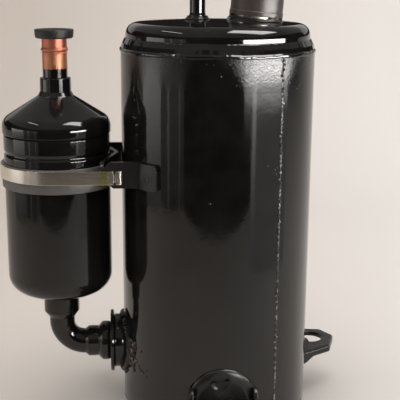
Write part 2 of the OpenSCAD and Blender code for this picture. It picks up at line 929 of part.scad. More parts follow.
module accumulator_envelope() {
    acc_axis() translate([0, 0, acc_low]) rotate_extrude()
        pressed_outline(acc_r, acc_corner, acc_corner_rise, 50, 0);
}

module accumulator_body() {
    straight = acc_joint - acc_low - acc_corner_rise;
    lip_r = acc_cap_r - acc_t;
    groove_r = 1.4;
    color(black) acc_axis() difference() {
        union() {
            translate([0, 0, acc_low]) rotate_extrude() difference() {
                pressed_outline(acc_r, acc_corner, acc_corner_rise, straight, 0);
                pressed_outline(acc_r, acc_corner, acc_corner_rise, straight + over, acc_t);
            }
            ring(lip_r, lip_r - acc_t, acc_joint - 3, acc_joint + 3.5);
        }
        translate([0, 0, groove_z]) rotate_extrude()
            translate([acc_r + 0.6, 0]) circle(groove_r);
        translate([0, 0, acc_low - over]) cylinder(r = suction_r, h = 6);
    }
}

module accumulator_cap() {
    bend_z = acc_joint + 4;
    bend_x = acc_cap_r - acc_cap_bend;
    lean = 90 - cone_slope;
    in_r = acc_cap_bend - acc_t;
    out_end = [bend_x + acc_cap_bend * cos(lean), bend_z + acc_cap_bend * sin(lean)];
    in_end = [bend_x + in_r * cos(lean), bend_z + in_r * sin(lean)];
    fall = tan(cone_slope);
    root_r = neck_r + 1;
    color(black) acc_axis() rotate_extrude() polygon(concat(
        [[acc_cap_r, acc_joint]],
        arc([bend_x, bend_z], acc_cap_bend, 0, lean, 8),
        [[root_r, out_end[1] + (out_end[0] - root_r) * fall],
            [neck_r, out_end[1] + (out_end[0] - root_r) * fall + 1.4],
            [neck_r, neck_top - 0.8], [neck_r - 0.8, neck_top], [inlet_r, neck_top],
            [inlet_r, in_end[1] + (in_end[0] - inlet_r) * fall]],
        arc([bend_x, bend_z], in_r, lean, 0, 8),
        [[acc_cap_r - acc_t, acc_joint]]));
}

module inlet_tube() {
    bead_r = 1.2;
    color(copper) acc_axis() difference() {
        union() {
            translate([0, 0, inlet_low]) cylinder(r = inlet_r, h = inlet_top - inlet_low);
            translate([0, 0, bead_z]) rotate_extrude()
                translate([inlet_r - 0.5, 0]) circle(bead_r);
        }
        translate([0, 0, inlet_low - over])
            cylinder(r = inlet_bore_r, h = inlet_top - inlet_low + 2 * over);
    }
}

module inlet_plug() {
    stem_h = 10;
    color(rubber) acc_axis() translate([0, 0, inlet_top]) {
        translate([0, 0, -stem_h]) cylinder(r = inlet_bore_r - slide_gap, h = stem_h);
        rotate_extrude() difference() {
            polygon(concat([[0, 0], [inlet_plug_r - 0.8, 0]],
                arc([inlet_plug_r - 1.2, inlet_plug_h - 1.2], 1.2, 0, 90, 5),
                [[0, inlet_plug_h]]));
            translate([0, inlet_plug_h + 26.6]) circle(27.8, $fn = 240);
        }
    }
}

module screen_holder() {
    color(steel) acc_axis() ring(acc_r - acc_t, 20, groove_z + 2, groove_z + 4);
}

module inlet_screen() {
    color(steel) acc_axis() difference() {
        translate([0, 0, groove_z + 2.5]) cylinder(r = 20, h = 1);
        for (row = [1:3]) slot_places(6 * row) translate([5 * row, 0, groove_z])
            cylinder(r = 1.5, h = 6, $fn = 24);
    }
}

module standpipe() {
    r = suction_r - suction_wall;
    color(steel) acc_axis() difference() {
        ring(r, r - 1, acc_low + 4, groove_z - 8);
        translate([0, 0, acc_low + 20]) rotate([0, 90, 0]) cylinder(r = 1, h = 20, $fn = 24);
    }
}

// ---------------------------------------------------------------- bracket and strap

// Hat-shaped bracket: a crown the accumulator is pulled against, two arms and two wings
module accumulator_bracket() {
    height = bracket_high - bracket_low;
    cut_high = 3.6;
    cut_low = 5;
    slot_w = 2.4;
    crown_t = bracket_t / cos(crown_lean);
    color(black) acc_frame() difference() {
        union() {
            translate([0, 0, bracket_low]) linear_extrude(height) polygon([[crown_x, 0],
                [arm_end, arm_y], [arm_end - crown_t, arm_y], [crown_x - crown_t, 0],
                [arm_end - crown_t, -arm_y], [arm_end, -arm_y]]);
            for (side = [-1, 1]) {
                translate([44, side > 0 ? arm_y - bracket_t : -arm_y, bracket_low])
                    cube([arm_end - 44, bracket_t, height]);
                rotate([0, 0, side > 0 ? wing_start : -wing_spread])
                    translate([0, 0, bracket_low]) rotate_extrude(angle = wing_spread - wing_start)
                        translate([shell_r - over, 0]) square([bracket_t + over, height]);
            }
        }
        cylinder(r = shell_r, h = bracket_high + over);
        for (side = [-1, 1]) {
            translate([slot_x, side * arm_y, strap_z - 0.5]) translate([-slot_w / 2, -4, 0])
                cube([slot_w, 8, strap_w + 1]);
            translate([arm_end + over, side * (arm_y + over), bracket_high + over])
                rotate([0, 45, 0]) cube(2 * cut_high, center = true);
            translate([arm_end + over, side * (arm_y + over), bracket_low - over])
                rotate([0, 45, 0]) cube(2 * cut_low, center = true);
            rotate([0, 0, side * 44]) translate([shell_r + bracket_t - 0.8, 0, strap_z + 4])
                rotate([0, 90, 0]) cylinder(r = 2.6, h = 5, $fn = 32);
        }
    }
}

module bracket_welds() {
    color(black) acc_frame() for (side = [-1, 1]) rotate([0, 0, side * 44])
        translate([shell_r + bracket_t - 0.8, 0, strap_z + 4]) rotate([0, 90, 0])
            cylinder(r1 = 2.4, r2 = 1.8, h = 1.3, $fn = 32);
}

module clamp_strap() {
    tail = 4;
    color([0.8, 0.79, 0.76]) acc_frame() {
        translate([acc_reach, 0, strap_z]) rotate([0, 0, -90]) rotate_extrude(angle = 180)
            translate([strap_liner_r, 0]) square([strap_t, strap_w]);
        for (side = [-1, 1]) {
            translate([slot_x - strap_t / 2, side > 0 ? arm_y : -arm_y - strap_t, strap_z])
                cube([acc_reach - slot_x + strap_t / 2, strap_t, strap_w]);
            translate([slot_x - strap_t / 2, side > 0 ? arm_y - tail : -arm_y, strap_z])
                cube([strap_t, tail, strap_w]);
        }
    }
}

module strap_liner() {
    color(rubber) acc_axis() ring(strap_liner_r, acc_r, liner_low, liner_high);
}

shell_tube();
top_cap();
bottom_cap();
top_cap_weld();
bottom_cap_weld();
seam_weld();
foot_front();
foot_right();
foot_left();
discharge_tube();
discharge_ferrule();
discharge_plug();
terminal_body();
terminal_beads();
terminal_pins();
terminal_fence();
terminal_gasket();
terminal_cover();
stator_core();
stator_winding();
cluster_block();
lead_wires();
rotor_core();
rotor_cage();
upper_balance_weight();
lower_balance_weight();
rotor_rivets();
crankshaft();
oil_paddle();
main_bearing();
cylinder_block();
sub_bearing();
roller();
vane();
vane_spring();
discharge_reed();
reed_root();
reed_stop();
reed_rivet();
muffler();
main_bearing_bolts();
sub_bearing_bolts();
suction_boss();
boss_weld();
suction_liner();
elbow_pipe();
elbow_sleeve();
outlet_sleeve();
accumulator_body();
accumulator_cap();
inlet_tube();
inlet_plug();
inlet_screen();
screen_holder();
standpipe();
accumulator_bracket();
bracket_welds();
clamp_strap();
strap_liner();
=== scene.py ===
import json
import random
from math import asin, atan2, cos, degrees, exp, hypot, pi, radians, sin, sqrt, tan

import bmesh
import bpy
from mathutils import Matrix, Vector, noise


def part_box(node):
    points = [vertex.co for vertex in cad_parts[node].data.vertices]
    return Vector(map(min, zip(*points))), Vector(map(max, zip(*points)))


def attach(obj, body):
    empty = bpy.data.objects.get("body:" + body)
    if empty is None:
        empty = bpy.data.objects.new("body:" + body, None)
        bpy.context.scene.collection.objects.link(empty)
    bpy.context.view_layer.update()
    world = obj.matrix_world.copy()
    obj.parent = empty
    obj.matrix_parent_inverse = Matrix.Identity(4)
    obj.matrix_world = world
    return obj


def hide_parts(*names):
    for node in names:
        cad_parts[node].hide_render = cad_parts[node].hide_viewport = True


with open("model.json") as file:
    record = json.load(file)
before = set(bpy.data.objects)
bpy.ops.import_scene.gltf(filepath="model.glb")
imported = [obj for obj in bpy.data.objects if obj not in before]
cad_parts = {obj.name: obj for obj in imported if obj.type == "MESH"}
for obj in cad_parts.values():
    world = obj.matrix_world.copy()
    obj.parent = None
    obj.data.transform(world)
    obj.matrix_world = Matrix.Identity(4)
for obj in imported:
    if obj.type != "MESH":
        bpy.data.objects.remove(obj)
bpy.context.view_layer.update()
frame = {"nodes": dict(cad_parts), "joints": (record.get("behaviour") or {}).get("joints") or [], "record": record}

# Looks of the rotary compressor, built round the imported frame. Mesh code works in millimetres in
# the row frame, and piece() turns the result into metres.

MM = 0.001
TAU = 2 * pi
chance = random.Random(11)


# ---- places read from the frame

def low_of(node):
    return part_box(node)[0] / MM


def high_of(node):
    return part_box(node)[1] / MM


def span_of(node):
    """Heights of a node's bottom and top."""
    return low_of(node).z, high_of(node).z


def middle_of(node):
    return (low_of(node) + high_of(node)) / 2


def turned(angle, axis="Z"):
    return Matrix.Rotation(radians(angle), 4, axis)


def moved(x, y, z):
    return Matrix.Translation((x, y, z))


MOUNTS = {m["name"]: m for m in frame["record"]["mounts"]}
JOINTS = {j["name"]: j for j in frame["joints"]}

shell_r = high_of("shell_tube").x
shell_low, shell_high = span_of("shell_tube")
cap_r = high_of("top_cap").x
wall = shell_r - cap_r
crown_z = high_of("discharge_ferrule").z - 2

acc_centre = middle_of("inlet_tube")
acc_reach = hypot(acc_centre.x, acc_centre.y)
acc_angle = degrees(atan2(acc_centre.y, acc_centre.x))
acc_r = (high_of("accumulator_body").y - low_of("accumulator_body").y) / 2
acc_low = low_of("accumulator_body").z
acc_joint = low_of("accumulator_cap").z
acc_cap_r = (high_of("accumulator_cap").y - low_of("accumulator_cap").y) / 2
ACC = turned(acc_angle)
ACC_AXIS = ACC @ moved(acc_reach, 0, 0)
suction_z = middle_of("suction_boss").z
SUCTION = ACC @ moved(0, 0, suction_z) @ turned(90, "Y")

lift_axis = Vector(JOINTS["cover_lift"]["axis"])
terminal_tilt = degrees(atan2(lift_axis.x, lift_axis.z))
pad_z = 0.9
fence_top = 12
TERMINAL = (moved(*(middle_of("terminal_fence") - lift_axis * (pad_z + fence_top) / 2))
            @ turned(terminal_tilt, "Y"))
stub = Vector(MOUNTS["discharge_line"]["pos_m"]) / MM
DISCHARGE = moved(stub.x, stub.y, 0)
seam_place = middle_of("seam_weld")
seam_angle = degrees(atan2(seam_place.y, seam_place.x))


# ---- outlines

def rounded(corners, closed=True, steps=4, base=0.0):
    """Outline through (x, y, radius) corners, each rounded with its own radius. base is y's zero."""
    points = []
    corners = [(x, base + y, radius) for x, y, radius in corners]
    for i, (x, y, radius) in enumerate(corners):
        here = Vector((x, y))
        at_end = not closed and i in (0, len(corners) - 1)
        if radius <= 0 or at_end:
            points.append(here)
            continue
        before = Vector(corners[i - 1][:2]) - here
        after = Vector(corners[(i + 1) % len(corners)][:2]) - here
        half = before.angle(after) / 2
        if half > radians(89.5):
            points.append(here)
            continue
        reach = radius / tan(half)
        longest = 0.49 * min(before.length, after.length)
        radius *= min(1, longest / reach)
        reach = min(reach, longest)
        inwards = (before.normalized() + after.normalized()).normalized()
        centre = here + inwards * (radius / sin(half))
        start = here + before.normalized() * reach - centre
        sweep = start.angle_signed(here + after.normalized() * reach - centre)
        for step in range(steps + 1):
            points.append(centre + turn_2d(start, -sweep * step / steps))
    return points


def turn_2d(v, angle):
    c, s = cos(angle), sin(angle)
    return Vector((v.x * c - v.y * s, v.x * s + v.y * c))


def arc_points(centre, radius, start, end, steps):
    """Points on an arc, from one angle in degrees to another."""
    angles = (radians(start + (end - start) * i / steps) for i in range(steps + 1))
    return [Vector(centre) + radius * Vector((cos(a), sin(a))) for a in angles]


def domed(radius, corner, rise, tip, up, inset, steps):
    """Half outline of a domed end from its tip to its side: a shallow crown and a round corner.
    up is 1 for a top and -1 for a bottom."""
    corner_x = radius - corner
    crown_r = (corner_x ** 2 + rise ** 2 - corner ** 2) / (2 * (rise - corner))
    lean = degrees(atan2(corner_x, crown_r - rise))
    crown = arc_points((0, tip - up * crown_r), crown_r - inset, 90 * up, (90 - lean) * up, steps)
    bend = arc_points((corner_x, tip - up * rise), corner - inset, (90 - lean) * up, 0, 12)
    return crown + bend[1:]


def divided(points, longest, closed=False):
    """The same line in steps of at most about longest."""
    dense = []
    for a, b in zip(points, points[1:] + points[:1] if closed else points[1:]):
        cuts = max(1, int((b - a).length / longest))
        dense += [a + (b - a) * i / cuts for i in range(cuts)]
    return dense if closed else dense + [points[-1]]


def ray_loop(outline, centre, count):
    """Where count evenly spread rays from centre meet a closed outline."""
    loop = []
    middle = Vector(centre)
    for i in range(count):
        ray = Vector((cos(TAU * i / count), sin(TAU * i / count)))
        best = None
        for a, b in zip(outline, outline[1:] + outline[:1]):
            side = b - a
            cross = ray.x * side.y - ray.y * side.x
            if abs(cross) < 1e-12:
                continue
            off = a - middle
            far = (off.x * side.y - off.y * side.x) / cross
            along = (off.x * ray.y - off.y * ray.x) / cross
            if far > 0 and -1e-9 <= along <= 1 + 1e-9 and (best is None or far > best):
                best = far
        loop.append(middle + ray * best)
    return loop


# ---- shapes: (vertices, faces) in mm

def loops_shape(loops, closed=False, capped=False):
    """Skin over loops of equally many points. closed joins the last loop to the first, capped
    closes both ends."""
    count = len(loops[0])
    vertices = [Vector(p) for loop in loops for p in loop]
    faces = []
    rows = len(loops) if closed else len(loops) - 1
    for row in range(rows):
        here, there = row * count, (row + 1) % len(loops) * count
        for i in range(count):
            n = (i + 1) % count
            faces.append((here + i, here + n, there + n, there + i))
    if capped:
        faces.append(tuple(range(count)))
        faces.append(tuple(range((len(loops) - 1) * count, len(loops) * count)))
    return vertices, faces


def uneven(angle, spread, z):
    """Smooth noise round an axis, between about -0.5 and 0.5."""
    return noise.noise(Vector((cos(angle) * spread, sin(angle) * spread, z)))


def lathe(profile, sides=128, ripple=None):
    """Solid turned about Z from a closed (radius, height) outline.
    ripple(angle, radius, height) gives a small extra radius and height."""
    loops = []
    for r, z in profile:
        loop = []
        for i in range(sides):
            angle = TAU * i / sides
            dr, dz = ripple(angle, r, z) if ripple else (0, 0)
            reach = max(r + dr, 0) if r > 0 else 0
            loop.append((reach * cos(angle), reach * sin(angle), z + dz))
        loops.append(loop)
    return loops_shape(loops, closed=True)


def tube(path, radii, sides=48):
    """Round bar along a path of 3-D points, with a radius for each."""
    loops = []
    up = Vector((0, 1, 0))
    for i, p in enumerate(path):
        ahead = path[min(i + 1, len(path) - 1)]
        behind = path[max(i - 1, 0)]
        along = (ahead - behind).normalized()
        side = along.cross(up).normalized()
        top = side.cross(along)
        loops.append([p + radii[i] * (cos(TAU * k / sides) * side + sin(TAU * k / sides) * top)
                      for k in range(sides)])
    return loops_shape(loops, capped=True)


def strip(path, thickness, low, high):
    """Sheet bent along a plan path. low(i) and high(i) give its two edges at point i."""
    loops = []
    for i, p in enumerate(path):
        along = (path[min(i + 1, len(path) - 1)] - path[max(i - 1, 0)]).normalized()
        out = Vector((along.y, -along.x)) * thickness / 2
        a, b = p + out, p - out
        loops.append([(a.x, a.y, low(i)), (a.x, a.y, high(i)),
                      (b.x, b.y, high(i)), (b.x, b.y, low(i))])
    return loops_shape(loops, capped=True)


def lump(radius, squash, seed, rings=6, sides=10):
    """Small uneven bead, flattened by squash along Z."""
    loops = []
    for j in range(rings + 1):
        lean = pi * j / rings
        loop = []
        for i in range(sides):
            a = TAU * i / sides
            p = Vector((sin(lean) * cos(a), sin(lean) * sin(a), cos(lean)))
            grow = radius * (1 + 0.25 * noise.noise(p * 1.7 + Vector((seed, 0, seed * 0.37))))
            loop.append((p.x * grow, p.y * grow, p.z * grow * squash))
        loops.append(loop)
    return loops_shape(loops)


def placed(shape, matrix):
    return [matrix @ v for v in shape[0]], shape[1]


def spun(corners, where, sides, ripple=None, base=0.0):
    """Lathe of a rounded outline, put in its place."""
    return placed(lathe(rounded(corners, base=base), sides, ripple), where)


def joined(*shapes):
    vertices, faces = [], []
    for points, skin in shapes:
        start = len(vertices)
        vertices += points
        faces += [tuple(i + start for i in face) for face in skin]
    return vertices, faces


# ---- materials

def material_tree(name):
    material = bpy.data.materials.new(name)
    material.use_nodes = True
    tree = material.node_tree
    return material, tree, tree.nodes["Principled BSDF"]


def feed(tree, socket, value):
    """Link a socket to another node's output, or set its value."""
    if isinstance(value, bpy.types.NodeSocket):
        tree.links.new(value, socket)
    elif socket.type == "RGBA" and len(value) == 3:
        socket.default_value = (*value, 1)
    else:
        socket.default_value = value


def wire(tree, node, **inputs):
    """Fill a node's inputs by name, with _ for a space."""
    for key, value in inputs.items():
        feed(tree, node.inputs[key.replace("_", " ")], value)
    return node


def add(tree, kind, settings=(), **inputs):
    """New node with its settings and inputs."""
    node = tree.nodes.new("ShaderNode" + kind)
    for key, value in settings:
        setattr(node, key, value)
    return wire(tree, node, **inputs)


def axis_of(tree, axis="Z"):
    """One object coordinate in metres."""
    return add(tree, "SeparateXYZ", Vector=place_of(tree)).outputs[axis]


def place_of(tree, stretch=(1, 1, 1)):
    """Object coordinates in metres, stretched."""
    coordinates = add(tree, "TexCoord")
    return add(tree, "Mapping", Vector=coordinates.outputs["Object"], Scale=stretch).outputs[0]


def noise_of(tree, scale, detail=3.0, roughness=0.5, stretch=(1, 1, 1)):
    return add(tree, "TexNoise", Vector=place_of(tree, stretch), Scale=scale, Detail=detail,
               Roughness=roughness).outputs["Fac"]


def ranged(tree, value, low, high, start=0.3, end=0.7):
    """The value, with start..end mapped to low..high."""
    return add(tree, "MapRange", Value=value, From_Min=start, From_Max=end, To_Min=low,
               To_Max=high).outputs[0]


def share_of(tree, value, start=0.3, end=0.7):
    return ranged(tree, value, 0.0, 1.0, start, end)


def mixed(tree, share, first, second):
    """Colour mix."""
    node = add(tree, "Mix", [("data_type", "RGBA")])
    for index, value in ((0, share), (6, first), (7, second)):
        feed(tree, node.inputs[index], value)
    return node.outputs[2]


def patched(tree, patches, first, second):
    """Two colours in the patches of a noise."""
    return mixed(tree, share_of(tree, patches), first, second)


def maths(tree, operation, first, second):
    node = add(tree, "Math", [("operation", operation)])
    feed(tree, node.inputs[0], first)
    feed(tree, node.inputs[1], second)
    return node.outputs[0]


def plus(tree, first, second):
    return maths(tree, "ADD", first, second)


def times(tree, first, second):
    return maths(tree, "MULTIPLY", first, second)


def bumped(tree, shader, height, distance):
    wire(tree, shader, Normal=add(tree, "Bump", Height=height, Distance=distance,
                                  Strength=1.0).outputs[0])


def surface(name, dark, light, rough=(0.3, 0.5), metal=0.0, scale=120.0, grain=900.0, bump=0.00002,
            stretch=(1, 1, 1), coat=0.0):
    """General finish: two tones in soft patches, uneven roughness and a fine grain."""
    material, tree, shader = material_tree(name)
    patches = noise_of(tree, scale, 4.0, 0.6, stretch)
    fine = noise_of(tree, grain, 2.0, 0.5, stretch)
    both = plus(tree, times(tree, patches, 0.5), times(tree, fine, 0.5))
    wire(tree, shader, Base_Color=patched(tree, patches, dark, light), Metallic=metal,
         Roughness=ranged(tree, both, *rough), Coat_Weight=coat)
    bumped(tree, shader, fine, bump)
    return material


PAINT_DARK = (0.0040, 0.0036, 0.0036)
PAINT_LIGHT = (0.0085, 0.0078, 0.0074)


def black_paint(name, weld_height=None, dull=0.0, glint=False):
    """Glossy baked enamel with a faint orange peel. weld_height roughens the film below a weld,
    and glint paints pale specks: partly bare spatter, partly painted highlights on the beads."""
    material, tree, shader = material_tree(name)
    patches = noise_of(tree, 60.0, 4.0, 0.6)
    peel = noise_of(tree, 420.0, 2.0, 0.45)
    swell = noise_of(tree, 90.0, 1.0, 0.4)
    dust = noise_of(tree, 2600.0, 2.0, 0.6)
    tone = patched(tree, patches, PAINT_DARK, PAINT_LIGHT)
    # painted highlight: pale grey specks stand partly for bare spatter, partly for the light the beads catch
    if glint:
        bare = ranged(tree, noise_of(tree, 520.0, 2.0, 0.5), 0.0, 0.9, 0.53, 0.60)
        tone = mixed(tree, bare, tone, (0.30, 0.28, 0.27))
    film = ranged(tree, patches, 0.055 + dull, 0.105 + dull)
    specks = ranged(tree, dust, 0.0, 0.10, 0.66, 0.74)
    wire(tree, shader, Base_Color=tone, Roughness=plus(tree, film, specks), IOR=1.47)
    height = plus(tree, times(tree, peel, 0.35), swell)
    if weld_height:
        near = share_of(tree, axis_of(tree), weld_height - 0.020, weld_height)
        grit = noise_of(tree, 700.0, 4.0, 0.7)
        height = plus(tree, height, times(tree, grit, times(tree, near, 5.5)))
    bumped(tree, shader, height, 0.00004)
    return material


def scorched_paint():
    """Paint over weld flash: lumpy, with scorched grey-brown showing through, the lighter patches partly a painted
    highlight on the lumps.
    """
    material, tree, shader = material_tree("weld_flash")
    # partly painted highlight: the lighter grey-brown patches stand for scorched flash and also for light caught
    # by the lumps
    burnt_and_highlight = share_of(tree, noise_of(tree, 260.0, 5.0, 0.7), 0.5, 0.62)
    grit = noise_of(tree, 1200.0, 4.0, 0.7)
    wire(tree, shader, Base_Color=mixed(tree, burnt_and_highlight, (0.010, 0.008, 0.007), (0.105, 0.080, 0.063)),
         Roughness=ranged(tree, grit, 0.25, 0.65))
    bumped(tree, shader, grit, 0.00025)
    return material


def copper_with_paint():
    """Drawn copper with heat tint, and black overspray up to an uneven border."""
    border = high_of("accumulator_cap").z * MM + 0.0052
    material, tree, shader = material_tree("copper_tube")
    z = axis_of(tree)
    edge = noise_of(tree, 260.0, 3.0, 0.6)
    line = plus(tree, z, times(tree, edge, 0.0016))
    bare = share_of(tree, line, border + 0.0006, border + 0.0013)
    cloudy = noise_of(tree, 140.0, 4.0, 0.6)
    drawn = noise_of(tree, 60.0, 3.0, 0.6, (14, 14, 1))
    warm = patched(tree, cloudy, (0.46, 0.18, 0.10), (0.60, 0.28, 0.17))
    heat = ranged(tree, z, 0.0, 0.75, border + 0.006, border + 0.017)
    metal = mixed(tree, heat, warm, (0.56, 0.17, 0.12))
    painted = maths(tree, "SUBTRACT", 1.0, bare)
    smooth = plus(tree, ranged(tree, drawn, 0.44, 0.58), times(tree, painted, -0.36))
    wire(tree, shader, Base_Color=mixed(tree, bare, PAINT_DARK, metal), Metallic=bare,
         Roughness=smooth)
    bumped(tree, shader, drawn, 0.000012)
    return material


def brushed_strap():
    """Bright strip steel, brushed along its length, with a yellow chromate-stained patch near the bracket, made
    bright enough to also be a painted reflection of the window on the strap's end.
    """
    material, tree, shader = material_tree("stainless_strap")
    brushed = noise_of(tree, 1.0, 2.0, 0.5, (25, 25, 3200))
    tone = patched(tree, noise_of(tree, 55.0, 3.0, 0.6), (0.74, 0.68, 0.60), (0.84, 0.79, 0.71))
    # partly painted reflection: the yellow chromate mark is lit up to stand in for the window seen in the strap's
    # end
    stain_and_sheen_at = (ACC @ Vector((69.4, 34, 0))) * MM
    spot = add(tree, "VectorMath", [("operation", "DISTANCE")])
    feed(tree, spot.inputs[0], place_of(tree, (1, 1, 0)))
    feed(tree, spot.inputs[1], (stain_and_sheen_at.x, stain_and_sheen_at.y, 0))
    stain_and_sheen = ranged(tree, spot.outputs["Value"], 0.9, 0.0, 0.0010, 0.0034)
    wire(tree, shader, Base_Color=mixed(tree, stain_and_sheen, tone, (0.66, 0.66, 0.16)), Metallic=1.0,
         Roughness=ranged(tree, brushed, 0.20, 0.27))
    bumped(tree, shader, brushed, 0.0000012)
    return material


FINISH = {
    "black_paint": black_paint("black_paint"),
    "plated_steel": surface("plated_steel", (0.42, 0.38, 0.28), (0.62, 0.60, 0.52), (0.25, 0.45), 1.0),
    "pin_steel": surface("pin_steel", (0.50, 0.50, 0.50), (0.68, 0.68, 0.67), (0.18, 0.32), 1.0),
    "glass_bead": surface("glass_bead", (0.10, 0.12, 0.11), (0.17, 0.20, 0.18), (0.05, 0.12), coat=0.5),
    "rubber": surface("rubber", (0.006, 0.006, 0.006), (0.014, 0.013, 0.013), (0.42, 0.62),
                      bump=0.00005, scale=90.0),
    "cover_plastic": surface("cover_plastic", (0.032, 0.023, 0.019), (0.044, 0.033, 0.028),
                             (0.33, 0.45), bump=0.00004, grain=1500.0),
    "core_steel": surface("core_steel", (0.16, 0.16, 0.17), (0.30, 0.30, 0.31), (0.35, 0.55), 1.0,
                          stretch=(1, 1, 22)),
    "winding_copper": surface("winding_copper", (0.30, 0.09, 0.03), (0.55, 0.20, 0.07), (0.2, 0.4),
                              0.9, coat=0.4, stretch=(1, 1, 5)),
    "connector_plastic": surface("connector_plastic", (0.55, 0.50, 0.40), (0.66, 0.62, 0.52)),
    "lead_insulation": surface("lead_insulation", (0.35, 0.03, 0.02), (0.45, 0.05, 0.03)),
    "cast_aluminium": surface("cast_aluminium", (0.50, 0.51, 0.53), (0.68, 0.69, 0.70), (0.35, 0.6),
                              1.0, bump=0.00008),
    "brass": surface("brass", (0.48, 0.33, 0.12), (0.66, 0.48, 0.20), (0.2, 0.4), 1.0),
    "ground_steel": surface("ground_steel", (0.42, 0.42, 0.43), (0.60, 0.60, 0.61), (0.14, 0.3), 1.0,
                            stretch=(1, 1, 12)),
    "spring_steel": surface("spring_steel", (0.30, 0.31, 0.34), (0.48, 0.50, 0.54), (0.2, 0.36), 1.0),
    "cast_iron": surface("cast_iron", (0.09, 0.09, 0.09), (0.18, 0.18, 0.18), (0.45, 0.7), 0.9,
                         bump=0.00012, grain=1600.0),
    "pressed_steel": surface("pressed_steel", (0.36, 0.36, 0.37), (0.55, 0.55, 0.56),
                             (0.25, 0.45), 1.0),
    "copper_tube": copper_with_paint(),
    "stainless_strap": brushed_strap(),
}
SHELL_PAINT = black_paint("shell_paint", shell_high * MM)
# bead paint with glint: its pale specks are partly painted highlight
BEAD_PAINT = black_paint("bead_paint", dull=0.20, glint=True)
SATIN_PAINT = black_paint("satin_paint", dull=0.20)
WELD_FLASH = scorched_paint()
LINER_RUBBER = surface("liner_rubber", (0.060, 0.056, 0.052), (0.095, 0.088, 0.080), (0.4, 0.6),
                       bump=0.00004, scale=80.0)

for row in frame["record"]["subparts"]:
    frame["nodes"][row["node"]].data.materials[0] = FINISH[row["material_slot"]]


# ---- pieces

def new_object(name, data):
    obj = bpy.data.objects.new(name, data)
    bpy.context.scene.collection.objects.link(obj)
    return obj


def piece(name, shape, *stands_for, slot="black_paint", body="housing", finish=None, bevel=0.0):
    """A finished mesh object: welded, with clean normals, riding on a CAD body and standing for
    CAD nodes."""
    mesh = bpy.data.meshes.new(name)
    bm = bmesh.new()
    points = [bm.verts.new(Vector(v) * MM) for v in shape[0]]
    for face in shape[1]:
        bm.faces.new([points[i] for i in face])
    bmesh.ops.remove_doubles(bm, verts=bm.verts, dist=2e-7)
    bmesh.ops.recalc_face_normals(bm, faces=bm.faces)
    bm.to_mesh(mesh)
    bm.free()
    mesh.shade_smooth()
    obj = new_object(name, mesh)
    mesh.materials.append(finish or FINISH[slot])
    if bevel:
        edge = obj.modifiers.new("edges", "BEVEL")
        edge.width = bevel * MM
        edge.segments = 3
        edge.limit_method = "ANGLE"
        edge.angle_limit = radians(35)
    normals = obj.modifiers.new("normals", "WEIGHTED_NORMAL")
    normals.keep_sharp = True
    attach(obj, body)
    if stands_for:
        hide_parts(*stands_for)


def on_shell(angle, z, out=0.0):
    """Frame on the shell's surface at an azimuth and height; local Z points out of the wall."""
    return turned(angle) @ moved(shell_r + out, 0, z) @ turned(90, "Y")


# ---- shell and caps

def shell_ripple(angle, r, z):
    """Rolled sheet is never quite round: a few hundredths of a millimetre of long waves."""
    if r < shell_r - 1:
        return 0, 0
    wave = (0.030 * sin(5 * angle + 0.4) + 0.016 * sin(11 * angle + 1.9)
            + 0.007 * sin(23 * angle + 0.7) + 0.0022 * sin(47 * angle + 2.2))
    along = noise.noise(Vector((cos(angle), sin(angle), z * 0.012)) * 1.6)
    return wave + 0.02 * along - 0.045, 0


def build_shell():
    rows = 24
    rise = (shell_high - shell_low) / rows
    outside = [(shell_r, shell_low + rise * i) for i in range(1, rows)]
    profile = [(cap_r, shell_low), (shell_r - 0.5, shell_low), (shell_r, shell_low + 0.5), *outside,
               (shell_r, shell_high - 0.5), (shell_r - 0.15, shell_high - 0.15),
               (shell_r - 0.5, shell_high), (cap_r, shell_high)]
    piece("shell_wall", lathe(profile, 360, shell_ripple), "shell_tube", finish=SHELL_PAINT)


def build_top_cap():
    skirt_low = low_of("top_cap").z
    outer, inner = (domed(cap_r, 7.0, 8.8, crown_z, 1, inset, 14) for inset in (0, wall))
    profile = outer + [(cap_r, skirt_low), (cap_r - wall, skirt_low)] + inner[::-1]
    piece("top_dome", lathe(profile, 256), "top_cap")
    pad_r = 16.6
    foot = [(0, -1.5, 0), (pad_r + 2.6, -1.5, 0), (pad_r + 0.7, -0.9, 1.2), (pad_r, pad_z, 0.45),
            (0, pad_z, 0)]
    piece("terminal_pad", spun(foot, TERMINAL, 128), "top_cap")


def build_bottom_cap():
    corner = 9.0
    low, high = span_of("bottom_cap")
    centre = (cap_r - corner, low + corner)
    outer = arc_points(centre, corner, -90, 0, 12)
    inner = arc_points(centre, corner - wall, 0, -90, 12)
    profile = [(0, low)] + outer + [(cap_r, high), (cap_r - wall, high)] + inner + [(0, low + wall)]
    piece("bottom_pan", lathe(profile, 200), "bottom_cap")


def weld_ripple(angle, r, z):
    """Fish-scale waves and slow wander of a ring weld."""
    wander = uneven(angle, 5, z * 0.1)
    scales = uneven(angle, 19, z * 0.2)
    fine = uneven(angle, 55, z * 0.6)
    free = 1 if r > cap_r + 0.2 else 0
    return free * (0.16 * wander + 0.13 * scales + 0.10 * fine), free * (0.5 * wander + 0.2 * scales)


def build_ring_welds():
    top = [(cap_r - 0.3, -1.2, 0), (shell_r - 0.2, -1.2, 0.2), (shell_r + 0.5, -0.5, 0.5),
           (shell_r + 0.45, 0.5, 0.5), (shell_r - 0.35, 1.5, 0.6), (shell_r - 1.0, 4.0, 1.6),
           (cap_r + 0.5, 7.0, 0.8), (cap_r - 0.3, 7.5, 0)]
    bottom = [(cap_r - 0.3, 0.6, 0), (cap_r - 0.3, -6.5, 0), (cap_r + 0.4, -6.2, 0.8),
              (shell_r - 0.7, -3.6, 1.6), (shell_r + 0.05, -0.9, 0.6), (shell_r - 0.1, 0.6, 0.3)]
    for name, corners, base in (("top", top, shell_high), ("bottom", bottom, shell_low)):
        bead = lathe(rounded(corners, base=base), 720, weld_ripple)
        piece(name + "_weld_bead", bead, name + "_cap_weld")


